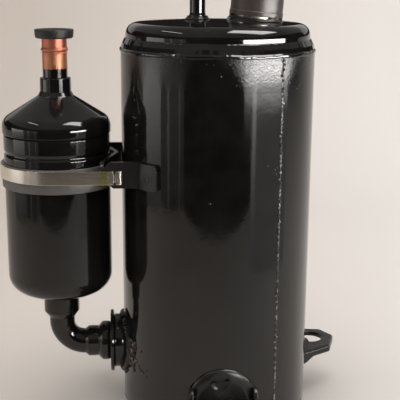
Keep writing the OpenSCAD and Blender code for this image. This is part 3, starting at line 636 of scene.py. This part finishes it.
def build_seam():
    """The lengthwise weld: a low even bead, and beads of spatter strung along it."""
    rows = 300
    low, high = shell_low + 1, shell_high - 0.6
    loops = []
    for j in range(rows + 1):
        z = low + (high - low) * j / rows
        top_part = max(0, (z - high + 14) / 14)
        drift = 0.25 * noise.noise(Vector((0, 0, z * 0.06))) + 0.9 * top_part * sin(z * 0.9)
        height = 0.34 + 0.22 * noise.noise(Vector((4, 0, z * 0.8)))
        width = 0.75 + 0.25 * noise.noise(Vector((9, 0, z * 0.5)))
        loop = [(shell_r + height * cos(radians(a)) - 0.05,
                 drift + width * sin(radians(a)), z) for a in (-90, -50, 0, 50, 90)]
        loops.append(loop + [(shell_r - 0.4, drift, z)])
    bead = placed(loops_shape(loops, capped=True), turned(seam_angle))
    beads = []
    z = low + 4
    while z < high - 1:
        up = (z - low) / (high - low)
        size = 0.30 + 0.75 * up * chance.random() + 0.2 * chance.random()
        side = chance.uniform(-0.7, 0.7) + (0.5 * sin(z * 0.9) if up > 0.93 else 0)
        where = on_shell(seam_angle + degrees(side / shell_r), z, 0.05)
        beads.append(placed(lump(size, 0.95, z), where))
        z += chance.uniform(1.3, 2.6) if up > 0.45 else chance.uniform(2.2, 6.5)
    piece("seam_bead", joined(bead, *beads), "seam_weld", finish=BEAD_PAINT)


def build_spatter():
    """Stray weld beads: a nib on the front, a patch beside the seam, and some below the ring weld."""
    spots = [(266.7, 155.8, 0.85), (seam_angle - 4.2, 173.5, 0.6), (seam_angle - 3.2, 171.0, 0.45),
             (seam_angle - 2.4, 174.5, 0.4), (seam_angle - 9.0, 176.5, 0.4)]
    for _ in range(46):
        spots.append((seam_angle + chance.gauss(-14, 16), shell_high - abs(chance.gauss(0, 7)) - 1,
                      chance.uniform(0.16, 0.34)))
    for _ in range(24):
        spots.append((chance.uniform(0, 360), shell_high - abs(chance.gauss(0, 9)) - 1,
                      chance.uniform(0.14, 0.28)))
    shapes = [placed(lump(size, 0.6, i * 1.3), on_shell(angle, z))
              for i, (angle, z, size) in enumerate(spots)]
    piece("weld_spatter", joined(*shapes), finish=BEAD_PAINT)


# ---- feet

FOOT_TOP = low_of("foot_front").z + 8.5
TAB_TOP = high_of("foot_front").z
SHEET = 3.0
FOOT_HOLE_R = MOUNTS["right_foot"]["dims"]["r_mm"]
FOOT_CENTRE = hypot(*MOUNTS["right_foot"]["pos_m"][:2]) / MM
FOOT_HALF = 20.0
FOOT_SHOULDER = 85.0
FOOT_TIP = 100.5
FOOT_TIP_HALF = 7.0
TAB_R = 120.0  # the tab's curve, and its axis
TAB_X = shell_r - 0.4 - TAB_R


def foot_outline(inset):
    """Plan outline of a foot: its root follows the shell, its other sides move in by inset."""
    run, drop = FOOT_TIP - FOOT_SHOULDER, FOOT_HALF - FOOT_TIP_HALF
    slant = hypot(run, drop)
    reach = (FOOT_SHOULDER * drop + FOOT_HALF * run) / slant - inset
    side, tip = FOOT_HALF - inset, FOOT_TIP - inset
    shoulder = (reach * slant - side * run) / drop
    tip_half = (reach * slant - tip * drop) / run
    root_r = shell_r - 0.8
    spread = degrees(asin(side / root_r))
    corner = max(2.6 - inset, 0.8)
    root_x = root_r * cos(radians(spread))
    free = rounded([(root_x, -side, 0), (shoulder, -side, corner), (tip, -tip_half, corner),
                    (tip, tip_half, corner), (shoulder, side, corner), (root_x, side, 0)],
                   closed=False, steps=6)
    return free + arc_points((0, 0), root_r, spread, -spread, 12)[1:-1]


def flange_low(x):
    """Lower edge of the foot's flange: deeper towards the shell."""
    tip_edge, root_edge = FOOT_TOP - 4.8, FOOT_TOP - 8.5
    share = min(max((72 - x) / (72 - 61.5), 0), 1)
    smooth = share * share * (3 - 2 * share)
    return tip_edge + (root_edge - tip_edge) * smooth


def foot_plate():
    count = 168
    bend = 2.2
    under = FOOT_TOP - SHEET

    def ring(inset, z):
        return [(p.x, p.y, z) for p in ray_loop(foot_outline(inset), (FOOT_CENTRE, 0), count)]

    def edge(inset, above):
        return [(x, y, flange_low(x) + above) for x, y, _ in ring(inset, 0)]

    def hole(r, z):
        return [(FOOT_CENTRE + r * cos(TAU * i / count), r * sin(TAU * i / count), z)
                for i in range(count)]

    loops = [hole(FOOT_HOLE_R, under), hole(FOOT_HOLE_R, FOOT_TOP - 0.7),
             hole(FOOT_HOLE_R + 0.2, FOOT_TOP - 0.2), hole(FOOT_HOLE_R + 0.7, FOOT_TOP)]
    for angle in (0, 15, 30, 45, 60, 75, 90):
        a = radians(angle)
        loops.append(ring(bend * (1 - sin(a)), FOOT_TOP - bend * (1 - cos(a))))
    loops += [edge(0, 0.5), edge(0.15, 0.15), edge(0.5, 0), edge(SHEET - 0.5, 0),
              edge(SHEET - 0.1, 0.3), ring(SHEET, under - 0.8), ring(SHEET + 0.3, under - 0.2),
              ring(SHEET + 0.9, under)]
    return loops_shape(loops, closed=True)


def foot_tab():
    """Domed weld tab, curved a little flatter than the shell, with one projection dimple."""
    count = 120
    tab_half, tab_top, dimple_y, dimple_z = 20.5, TAB_TOP, -1.8, TAB_TOP - 7.2
    side_low = FOOT_TOP - SHEET

    def outline(inset):
        dome = arc_points((0, tab_top - tab_half), tab_half - inset, 0, 180, 24)
        return dome + [Vector((-tab_half + inset, side_low)), Vector((tab_half - inset, side_low))]

    def ring(points, depth):
        r = TAB_R + SHEET - depth
        return [(TAB_X + sqrt(r * r - p.x * p.x), p.x, p.y) for p in points]

    def round_hole(r):
        return [Vector((dimple_y + r * cos(TAU * i / count),
                        dimple_z + r * sin(TAU * i / count))) for i in range(count)]

    def rays(inset):
        return ray_loop(outline(inset), (dimple_y, dimple_z), count)

    loops = [ring(round_hole(r), depth) for r, depth in
             ((0.01, 1), (3.6, 1), (4.4, 0.8), (4.9, 0.35), (5.5, 0.05), (6.2, 0))]
    loops += [ring(rays(inset), depth) for inset, depth in
              ((6.4, 0), (4.8, 0.10), (3.2, 0.35), (1.9, 0.75), (0.9, 1.25), (0.25, 1.85),
               (0, 2.4), (0, 2.7), (0.4, SHEET - 0.05))]
    loops.append(ring(round_hole(0.01), SHEET - 0.05))
    return loops_shape(loops)


def foot_bend():
    """Inside bend between the tab and the plate."""
    radius, steps = 3.2, 24
    face_r = TAB_R + SHEET
    loops = []
    for i in range(steps + 1):
        y = -18.5 + 37 * i / steps
        x = TAB_X + sqrt(face_r ** 2 - y * y) - 0.1
        arc = arc_points((x + radius, FOOT_TOP + radius), radius, 180, 270, 6)
        loops.append([(p.x, y, p.y) for p in arc] + [(x, y, FOOT_TOP - 0.2)])
    return loops_shape(loops, capped=True)


def foot_ears():
    shapes = []
    for side in (-1, 1):
        disc = [(0, -1.3, 0), (5.6, -1.3, 0.6), (5.6, 1.3, 0.6), (0, 1.3, 0)]
        where = moved(60, side * 19, FOOT_TOP + 5.4) @ turned(90, "X")
        shapes.append(spun(disc, where, 48))
    return shapes


def build_feet():
    shape = joined(foot_plate(), foot_tab(), foot_bend(), *foot_ears())
    for side in ("front", "right", "left"):
        x, y = MOUNTS[side + "_foot"]["pos_m"][:2]
        node = "foot_" + side
        where = turned(degrees(atan2(y, x)))
        piece(node + "_pressing", placed(shape, where), node, finish=SATIN_PAINT)


# ---- discharge stub and terminal

def build_discharge():
    """Discharge stub in its swaged ferrule, and its plug."""
    r = MOUNTS["discharge_line"]["dims"]["r_mm"]
    low, high = span_of("discharge_tube")
    ferrule_top = high_of("discharge_ferrule").z
    swage = r + 0.3
    wall_in = r - 0.8
    pipe = [(wall_in, low, 0.2), (swage, low, 0.2), (swage, ferrule_top + 0.4, 0.5),
            (r, ferrule_top + 1.6, 0.8), (r, high, 0.25), (wall_in, high, 0.25)]
    piece("discharge_stub", spun(pipe, DISCHARGE, 96), "discharge_tube")
    collar_r, flare = 6.35, 7.8
    collar = [(swage, -6, 0), (collar_r, -6, 0.2), (collar_r, -0.4, 0), (flare, -0.3, 0.25),
              (flare - 0.3, 0.5, 0.35), (collar_r + 0.25, 1.1, 0.9), (collar_r, 2, 0.4),
              (swage, 2.1, 0.2)]
    piece("discharge_collar", spun(collar, DISCHARGE, 96, base=crown_z), "discharge_ferrule")
    plug_r, stem_r = 7.0, wall_in - 0.05
    plug = [(0, -8, 0), (stem_r, -8, 0.6), (stem_r, 0, 0.1), (plug_r, 0, 0.5), (plug_r, 4.5, 0.9),
            (plug_r - 1.6, 4.45, 0.4), (plug_r - 2.6, 3.8, 0.6), (0, 3.6, 0)]
    piece("discharge_stopper", spun(plug, DISCHARGE, 96, base=high), "discharge_plug",
          slot="rubber", body="discharge_cap")


def build_terminal_cover():
    """Press-on moulded cap: straight skirt, rounded crown, rim band and six locating lugs."""
    outer, rim_z, height, skin = 16.0, 2.9, 30.0, 1.8
    inner = 13.95
    cup = [(inner, 0, 0.2), (outer, 0, 0.35), (outer, 2.6, 0.3), (outer - 0.35, 3.0, 0.3),
           (outer - 0.35, height, 3.2), (outer - 5.2, height, 0.4), (outer - 5.8, height - 0.5, 0.4),
           (0, height - 0.5, 0), (0, height - skin, 0), (inner, height - skin, 1.2)]
    shapes = [lathe(rounded(cup, steps=6, base=rim_z), 160)]
    for i in range(6):
        lug = []
        for j in range(5):
            a = radians(60 * i + 16 * j / 4)
            lug.append([(r * cos(a), r * sin(a), z) for r, z in
                        ((inner + 0.25, 2.05), (outer - 0.25, 2.05), (outer - 0.1, 2.2),
                         (outer - 0.1, rim_z + 0.1), (inner + 0.1, rim_z + 0.1), (inner + 0.1, 2.2))])
        shapes.append(loops_shape(lug, capped=True))
    piece("terminal_cap_shell", placed(joined(*shapes), TERMINAL), "terminal_cover",
          slot="cover_plastic", body="cover")
    seal = [(13.9, pad_z, 0.2), (16.0, pad_z, 0.3), (16.0, 2.0, 0.3), (13.9, 2.0, 0.3)]
    piece("terminal_seal", spun(seal, TERMINAL, 128), "terminal_gasket", slot="rubber")


# ---- suction line

ELBOW_R = 14.5
SOCKET_FACE = shell_r + 8.4  # the boss's outer face, from the shell's axis
PIPE_R = 7.94


def suction_path():
    """Centre line from inside the boss, round the elbow, up into the accumulator."""
    bend_x = acc_reach - ELBOW_R
    level = [Vector((x, 0, suction_z)) for x in (cap_r + 2.5, shell_r + 4, bend_x - 8, bend_x - 2)]
    bend = [Vector((p.x, 0, p.y))
            for p in arc_points((bend_x, suction_z + ELBOW_R), ELBOW_R, -90, 0, 20)]
    rise = [Vector((acc_reach, 0, z)) for z in (suction_z + ELBOW_R + 3, acc_low + 4, acc_low + 9)]
    return level + bend + rise


def build_elbow():
    """Bent pipe, a little flattened inside its bend, and the two sleeves at its ends."""
    r = PIPE_R
    path = suction_path()
    pinch = []
    for p in path:
        share = exp(-((p.x - acc_reach + 4) / 8) ** 2 - ((p.z - suction_z - 4) / 8) ** 2)
        pinch.append(r - 0.25 * share)
    piece("suction_elbow", placed(tube(path, pinch, 72), ACC), "elbow_pipe")
    sleeve = [(r - 0.2, -0.2, 0), (11.9, -0.2, 0), (12.4, 2.2, 1.4), (12.35, 5.2, 2.2),
              (10.4, 7.2, 0.7), (9.55, 7.7, 0.6), (9.75, 10.5, 1.2), (9.7, 14.0, 2.0),
              (r + 0.15, 15.9, 0.5), (r - 0.2, 16.1, 0)]
    piece("suction_sleeve", spun(sleeve, SUCTION, 96, dented(0.10), SOCKET_FACE), "elbow_sleeve")
    low = low_of("outlet_sleeve").z
    collar = [(r - 0.2, low, 0), (r + 0.35, low, 0.3), (11.05, low + 3.8, 1.4),
              (11.05, acc_low + 1.6, 0.3), (r - 0.2, acc_low + 1.6, 0)]
    piece("outlet_collar", spun(collar, ACC_AXIS, 96, dented(0.06)), "outlet_sleeve")


def dented(depth):
    """Ripple for lathe(): soft dents of about depth on all but the bore."""
    def ripple(angle, r, z):
        return (depth * uneven(angle, 2.2, z * 0.25) if r > 8.4 else 0), 0
    return ripple


def build_boss():
    """Socket welded to the shell: barrel, thin end disc, and the rough weld at its foot."""
    barrel_r, disc_r, face = 17.4, 19.85, SOCKET_FACE
    root = barrel_r - 2
    profile = [(9.0, cap_r + 1.2, 0), (barrel_r - 0.5, cap_r - 3, 0), (barrel_r - 0.5, face - 2.6, 0.9),
               (disc_r - 0.3, face - 2.1, 0.3), (disc_r, face - 1.0, 0.5), (disc_r - 0.4, face, 0.5),
               (12.6, face - 0.2, 0.8), (9.0, face - 0.2, 0)]
    piece("suction_socket", spun(profile, SUCTION, 144, dented(0.14)), "suction_boss")
    loops = []
    count = 240
    for i in range(count):
        a = TAU * i / count
        grow = 1 + 0.35 * uneven(a, 4, 3.1) + 0.3 * uneven(a, 22, 7.7)
        loop = []
        for lean in range(9):
            t = radians(-20 + 130 * lean / 8)
            out = barrel_r - 0.6 + 2.6 * grow * cos(t)
            proud = 2.3 * grow * sin(t)
            across = out * sin(a)
            seat = sqrt(shell_r ** 2 - across ** 2)
            loop.append((-out * cos(a), across, seat - 0.2 + max(proud, -0.4)))
        across = root * sin(a)
        loop.append((-root * cos(a), across, sqrt(shell_r ** 2 - across ** 2) - 1))
        loops.append(loop)
    bead = loops_shape(loops, closed=True)
    drips = []
    for i in range(30):
        a = radians(chance.gauss(-52, 34))
        out = barrel_r + chance.uniform(0.2, 3.4)
        across = out * cos(a)
        fall = out * sin(a)
        seat = sqrt(shell_r ** 2 - across ** 2)
        drips.append(placed(lump(chance.uniform(0.5, 1.15), 0.7, i * 2.1),
                            moved(-fall, across, seat + 0.2)))
    crust = []
    for i in range(70):
        angle, z = acc_angle + 17 + abs(chance.gauss(0, 7.5)), suction_z + chance.uniform(-10, 9)
        size = chance.uniform(0.5, 1.7) * (1.25 - abs(z - suction_z) / 24)
        crust.append(placed(lump(size, 0.55, i * 3.3), on_shell(angle, z)))
    piece("socket_weld", placed(bead, SUCTION), "boss_weld")
    piece("socket_crust", joined(placed(joined(*drips), SUCTION), *crust), finish=WELD_FLASH)


# ---- accumulator

GROOVE_Z = low_of("accumulator_cap").z - 11.2


def build_accumulator():
    skin = 2.0
    outer, inner = (domed(acc_r, 12.0, 17.0, acc_low, -1, inset, 12) for inset in (0, skin))
    groove = [(acc_r - deep, GROOVE_Z + rise) for rise, deep in
              ((-2.2, 0), (-1.5, 0.10), (-0.7, 0.55), (0, 0.80), (0.7, 0.55), (1.5, 0.10), (2.2, 0))]
    lip = [(acc_r, acc_joint - 1.3), (acc_r - 0.35, acc_joint - 0.6), (acc_r - 0.9, acc_joint),
           (acc_r - skin, acc_joint)]
    profile = outer + groove + lip + inner[::-1]
    piece("accumulator_can", placed(lathe(profile, 200, dented(0.03)), ACC_AXIS), "accumulator_body")


def build_accumulator_cap():
    bend, slope = 8.0, 31.5
    bend_x, bend_z = acc_cap_r - bend, acc_joint + 4
    top = high_of("accumulator_cap").z
    neck_r, tube_r = 9.25, 7.4
    shoulder = arc_points((bend_x, bend_z), bend, 0, 90 - slope, 10)
    end = shoulder[-1]
    fall = tan(radians(slope))
    root = neck_r + 1.0
    root_z = end.y + (end.x - root) * fall
    neck = rounded([(end.x, end.y, 0), (root + 0.6, root_z - 0.2, 2.2),
                    (neck_r + 0.1, root_z + 2.4, 1.6), (neck_r, top - 0.2, 0.9),
                    (neck_r - 1.3, top, 0.3), (tube_r, top + 0.3, 0)], closed=False, steps=6)
    lip = [(acc_cap_r - 0.9, acc_joint), (acc_cap_r - 0.3, acc_joint + 0.15),
           (acc_cap_r, acc_joint + 0.7)]
    inside = [(tube_r, root_z - 2), (acc_cap_r - 8, acc_joint + 6), (acc_cap_r - 2, acc_joint + 3),
              (acc_cap_r - 2, acc_joint)]
    profile = lip + shoulder + neck[1:] + inside
    piece("accumulator_shoulder", placed(lathe(profile, 200, dented(0.04)), ACC_AXIS),
          "accumulator_cap")


def build_inlet():
    """Copper inlet with its stop bead and a soft dent, and its plug."""
    r, bore = 7.4, 6.45
    low, high = span_of("inlet_tube")
    bead = high - 6.8
    profile = [(bore, low, 0.2), (r, low, 0.2), (r, bead - 2.2, 0.5), (r + 0.25, bead - 1.5, 0.4),
               (r - 0.15, bead - 1.0, 0.3), (r + 0.75, bead - 0.1, 0.7), (r + 0.7, bead + 0.6, 0.7),
               (r, bead + 1.5, 0.6), (r, high, 0.3), (bore, high, 0.3)]

    def worn(angle, radius, z):
        if radius < r - 0.3 or z > high - 1 or z < low + 12:
            return 0, 0
        dent = exp(-((angle - 4.9) / 0.35) ** 2 - ((z - bead + 9) / 3.2) ** 2)
        return 0.05 * uneven(angle, 1.5, z * 0.2) - 0.18 * dent, 0

    outline = divided(rounded(profile, steps=5), 1.5, closed=True)
    piece("inlet_socket", placed(lathe(outline, 128, worn), ACC_AXIS), "inlet_tube", slot="copper_tube")
    plug_r, stem = 11.6, bore - 0.05
    plug = [(0, -10, 0), (stem - 0.6, -10, 0.5), (stem, -8, 0.4), (stem, 0, 0.1),
            (plug_r - 1.0, 0, 0.6), (plug_r - 0.3, 0.8, 0.5), (plug_r, 4.0, 0.5),
            (plug_r - 0.1, 5.3, 0.55), (plug_r - 1.5, 5.25, 0.5), (plug_r - 3.2, 4.3, 1.2),
            (0, 3.9, 0)]
    piece("inlet_stopper", spun(plug, ACC_AXIS, 128, base=high), "inlet_plug", slot="rubber",
          body="inlet_cap")


# ---- bracket and strap

LINER_R = acc_r + 1.4
BRACKET_T = 2.5
bracket_low, bracket_high = span_of("accumulator_bracket")
strap_low, strap_high = span_of("clamp_strap")
SLOT_X = 58.5  # where the strap's hooks go through the bracket
ARM_END = 72.0
CROWN_X = 62.54  # the shallow V's apex


def build_bracket():
    """Hat-shaped bracket: welded wings, two arms and a shallow V that cradles the can."""
    mid = BRACKET_T / 2
    wing_r = shell_r + mid
    arm = LINER_R - mid
    end, apex = ARM_END - mid, CROWN_X - mid * 1.05
    corners = []
    for side in (1, -1):
        far = [(wing_r * cos(radians(a)), side * wing_r * sin(radians(a)), 0)
               for a in (50, 47, 44, 41, 38)]
        turn = (sqrt(wing_r ** 2 - arm ** 2) - 0.6, side * arm, 1.8)
        corners.append(far + [turn, (end, side * arm, 1.6)])
    path = rounded(corners[0] + [(apex, 0, 14)] + corners[1][::-1], closed=False, steps=5)
    spaced = divided(path, 0.8)
    start, finish = spaced[0], spaced[-1]

    def tip_cut(p):
        past = max(0, 2.2 - min((p - start).length, (p - finish).length))
        return 2.2 - sqrt(max(2.2 ** 2 - past ** 2, 0))

    def corner_cut(p, leg):
        return max(leg - abs(end - p.x) - 2 * (arm - abs(p.y)), 0)

    def low(i):
        return bracket_low + corner_cut(spaced[i], 7.0)

    def high(i):
        return bracket_high - corner_cut(spaced[i], 5.0) - tip_cut(spaced[i])

    shape = strip(spaced, BRACKET_T, low, high)
    piece("bracket_hat", placed(shape, ACC), "accumulator_bracket", finish=SATIN_PAINT, bevel=0.45)
    nuggets = []
    for side in (-1, 1):
        plug = [(0, -0.9, 0), (3.3, -0.9, 0), (3.2, 0.15, 0.4), (2.5, 0.10, 0.4), (1.9, -0.35, 0.5),
                (1.2, 0.35, 0.5), (0, 0.5, 0)]
        where = turned(44 * side) @ moved(shell_r + BRACKET_T, 0, 166) @ turned(90, "Y")
        nuggets.append(spun(plug, where, 48))
    piece("plug_welds", placed(joined(*nuggets), ACC), "bracket_welds", finish=SATIN_PAINT)


def build_strap():
    """Open band round the can, hooked into the bracket's arms, on its rubber liner."""
    mid = LINER_R + 0.5
    gap_far, gap_near = 63.3, 62.2
    bend = 3.2

    arc = arc_points((acc_reach, 0), mid, 90, -90, 72)
    front = divided([Vector((gap_far, mid)), arc[0]], 2.0)
    back = divided([arc[-1], Vector((gap_far, -mid))], 2.0)
    loop = front[:-1] + arc + back[1:]

    def band(path):
        return strip(path, 1.0, lambda i: strap_low, lambda i: strap_high)

    shapes = [band(loop)]
    for side in (1, -1):
        hook = rounded([(gap_near, side * mid, 0), (SLOT_X, side * mid, bend),
                        (SLOT_X, side * (LINER_R - 4), 0)], closed=False, steps=6)
        shapes.append(band(hook))
        under = [Vector((x, side * (mid - 0.05))) for x in (gap_far + 1.2, gap_near - 0.6)]
        shapes.append(strip(under, 0.7, lambda i: strap_low + 1.6, lambda i: strap_high - 1.6))
    piece("strap_band", placed(joined(*shapes), ACC), "clamp_strap", slot="stainless_strap", bevel=0.22)
    low, high = span_of("strap_liner")
    pad = [(acc_r, low, 0.2), (LINER_R - 0.1, low, 0.5), (LINER_R, low + 3.4, 0.6),
           (LINER_R - 0.1, strap_low - 0.6, 0.4), (LINER_R, strap_low, 0.1), (LINER_R, high, 0.3),
           (acc_r, high, 0.2)]
    piece("liner_band", spun(pad, ACC_AXIS, 180), "strap_liner", slot="rubber", finish=LINER_RUBBER)


# ---- studio

def stage_mesh(name, vertices, faces, material):
    mesh = bpy.data.meshes.new(name)
    mesh.from_pydata(vertices, [], faces)
    mesh.shade_smooth()
    mesh.materials.append(material)
    obj = new_object(name, mesh)
    return obj


def backdrop_material():
    """Warm seamless paper with painted light: paler towards the window side, and painted shade that darkens it
    towards the camera's side.
    """
    material, tree, shader = material_tree("backdrop_paper_painted_light")
    # painted light: the backdrop is made paler towards the window on the right
    side = share_of(tree, axis_of(tree, "X"), -0.30, 0.25)
    paper = mixed(tree, side, (0.445, 0.400, 0.362), (0.640, 0.612, 0.585))
    # painted shade: the floor darkens towards the camera, standing in for the light falling off
    front = ranged(tree, axis_of(tree, "Y"), 0.0, 0.55, -0.13, -0.42)
    wire(tree, shader, Base_Color=mixed(tree, front, paper, (0.24, 0.22, 0.20)), Roughness=0.9,
         Specular_IOR_Level=0.1)
    return material


def build_backdrop():
    """Floor that sweeps up behind the object. It ends a little in front of the object, so the
    room on the camera's side stays dark in the paint."""
    width, front, turn_y, bend = 1.9, -0.52, 0.55, 0.45
    lean = 58
    arc = arc_points((turn_y, bend), bend, -90, lean - 90, 16)
    end = arc[-1] + 0.06 * Vector((cos(radians(lean)), sin(radians(lean))))
    line = [Vector((front, 0.0)), *arc, end]
    vertices = [(x, y, z) for y, z in line for x in (-width, width)]
    faces = [(2 * i, 2 * i + 1, 2 * i + 3, 2 * i + 2) for i in range(len(line) - 1)]
    stage_mesh("floor_sweep", vertices, faces, backdrop_material())


def stack(tree, kind, *values):
    """Output of a shader node that joins the values, in the order of its inputs."""
    node = add(tree, kind)
    for socket, value in zip(node.inputs, values):
        feed(tree, socket, value)
    return node.outputs[0]


def card_material(name, colour, strength, fade=(-1.0, 0.0), power=1.0, clear=False):
    """Window light that fades out towards its lower edge. A clear card hides nothing behind it."""
    material, tree, shader = material_tree(name)
    tree.nodes.remove(shader)
    share = share_of(tree, axis_of(tree), *fade)
    faded = times(tree, maths(tree, "POWER", share, power), strength)
    light = add(tree, "Emission", Color=colour, Strength=faded).outputs[0]
    if clear:
        light = stack(tree, "AddShader", light, add(tree, "BsdfTransparent").outputs[0])
    feed(tree, tree.nodes["Material Output"].inputs["Surface"], light)
    return material


def upright(left, right, low, high):
    """Corners of an upright card between two plan points."""
    return [(*left, low), (*right, low), (*right, high), (*left, high)]


def stage_card(name, corners, material):
    """Glowing card that is seen in the paint only."""
    card = stage_mesh(name, corners, [(0, 1, 2, 3)], material)
    card.visible_camera = False
    card.visible_diffuse = False
    card.visible_shadow = False


def build_window(name, azimuth, distance, width, heights, colour, strength, fade=(-1.0, 0.0),
                 power=1.0, clear=False):
    """Upright soft window. azimuth is from the camera's side, to the right; the glow grows over
    the heights in fade."""
    a = radians(azimuth)
    centre = Vector((sin(a), -cos(a))) * distance
    side = Vector((cos(a), sin(a))) * width / 2
    stage_card(name, upright(centre - side, centre + side, *heights),
               card_material(name, colour, strength, fade, power, clear))


def build_panel(name, corners, strength):
    """Evenly glowing panel."""
    stage_card(name, corners, card_material(name, (1.0, 0.98, 0.96), strength))


def build_panels():
    """Overhead window up to the right, dim ceiling, and the pale wall behind on both sides."""
    build_panel("skylight", [(0.16, -0.40, 1.25), (0.85, -0.40, 1.05), (0.85, 0.14, 1.05),
                             (0.16, 0.14, 1.25)], 12.0)
    half, height = 2.5, 1.4
    build_panel("ceiling_glow", [(-half, -half, height), (half, -half, height),
                                 (half, half, height), (-half, half, height)], 0.28)
    back = 0.97
    for name, side, light in (("back_right_glow", 1, 0.65), ("back_left_glow", -1, 0.55)):
        build_panel(name, upright((0.15 * side, back), (1.10 * side, back), 0.38, 0.74), light)


def add_soft_light(name, place, aim, size, power):
    """Area light that gloss doesn't show."""
    data = bpy.data.lights.new(name, "AREA")
    data.shape = "RECTANGLE"
    data.size, data.size_y = size
    data.energy = power
    data.color = (1.0, 0.975, 0.95)
    lamp = new_object(name, data)
    lamp.location = place
    lamp.rotation_euler = (Vector(aim) - Vector(place)).to_track_quat("-Z", "Y").to_euler()
    lamp.visible_glossy = False
    lamp.visible_camera = False


def build_world():
    """Dim room in the gloss, soft air for diffuse light, pale paper for the camera."""
    world = bpy.data.worlds.new("room")
    world.use_nodes = True
    tree = world.node_tree
    dim = wire(tree, tree.nodes["Background"], Color=(0.9, 0.82, 0.78), Strength=0.015)
    pale = add(tree, "Background", Color=(0.80, 0.76, 0.72), Strength=1.0)
    seen = add(tree, "LightPath").outputs["Is Camera Ray"]
    spread = add(tree, "LightPath").outputs["Is Diffuse Ray"]
    air = add(tree, "Background", Color=(1.0, 0.97, 0.94), Strength=0.36)
    result = stack(tree, "MixShader", spread, dim.outputs[0], air.outputs[0])
    result = stack(tree, "MixShader", seen, result, pale.outputs[0])
    feed(tree, tree.nodes["World Output"].inputs["Surface"], result)
    bpy.context.scene.world = world


def build_windows():
    """The lit room, by azimuth, distance, width, heights, colour, strength, fade and power."""
    near = 0.62
    day, dusk = (1.0, 0.97, 0.95), (1.0, 0.95, 0.90)
    tall = (0.002, 0.27)
    build_window("right_window", 58, near, 0.66, tall, day, 40.0, (0.05, 0.20), 4.6)
    build_window("left_window", -77.5, near, 0.33, tall, dusk, 2.6, (-0.02, 0.20), 1.2)
    build_window("left_haze", -52, near, 0.34, tall, dusk, 0.45, (-0.05, 0.20))
    build_window("left_gap", -55, near - 0.01, 0.022, tall, dusk, 1.6, (-0.05, 0.2))
    build_window("left_slit", -42, near - 0.01, 0.018, tall, dusk, 1.1, (-0.05, 0.2))
    build_window("left_rail", -76, 0.45, 0.36, (0.76, 0.80), day, 14.0, (0.0, 0.1))
    build_window("left_sash", -76, 0.12, 0.10, (1.18, 1.20), day, 9.0, (0.0, 0.1))
    build_window("right_haze", 61, 0.38, 0.33, (0.002, 0.16), day, 0.60)
    build_window("right_streak", 40.5, 0.37, 0.028, (0.002, 0.20), day, 3.6, (0.0, 0.18), 3.0,
                 clear=True)


def build_lights():
    """Soft light on the floor and the matt parts, by place, aim, size and watts."""
    add_soft_light("ceiling", (0.25, 0.15, 1.7), (0, 0.1, 0), (2.6, 2.4), 23)
    add_soft_light("backdrop_fill", (0.2, -0.3, 1.5), (0.1, 1.0, 0.35), (1.4, 0.8), 11)
    add_soft_light("left_fill", (-1.2, -0.25, 0.9), (-0.1, 0.0, 0), (0.9, 0.9), 5.5)
    add_soft_light("front_fill", (-0.4, -1.5, 1.1), (0, 0, 0), (2.0, 1.4), 13.0)


def build_camera():
    """Camera fitted to the photograph's view of the shell."""
    data = bpy.data.cameras.new("camera")
    data.lens = 83.7
    data.sensor_width = 36
    camera = new_object("camera", data)
    yaw, pitch, roll = 1.0, 13.8, 0.43
    camera.matrix_world = (Matrix.Translation((0, -0.567, 0.283)) @ turned(yaw)
                           @ turned(90 - pitch, "X") @ turned(roll))
    bpy.context.scene.camera = camera
    bpy.context.scene.view_settings.view_transform = "Standard"


for build in (build_shell, build_top_cap, build_bottom_cap, build_ring_welds, build_seam,
              build_spatter, build_feet, build_discharge, build_terminal_cover, build_elbow,
              build_boss, build_accumulator, build_accumulator_cap, build_inlet, build_bracket,
              build_strap, build_backdrop, build_world, build_windows, build_panels, build_lights,
              build_camera):
    build()
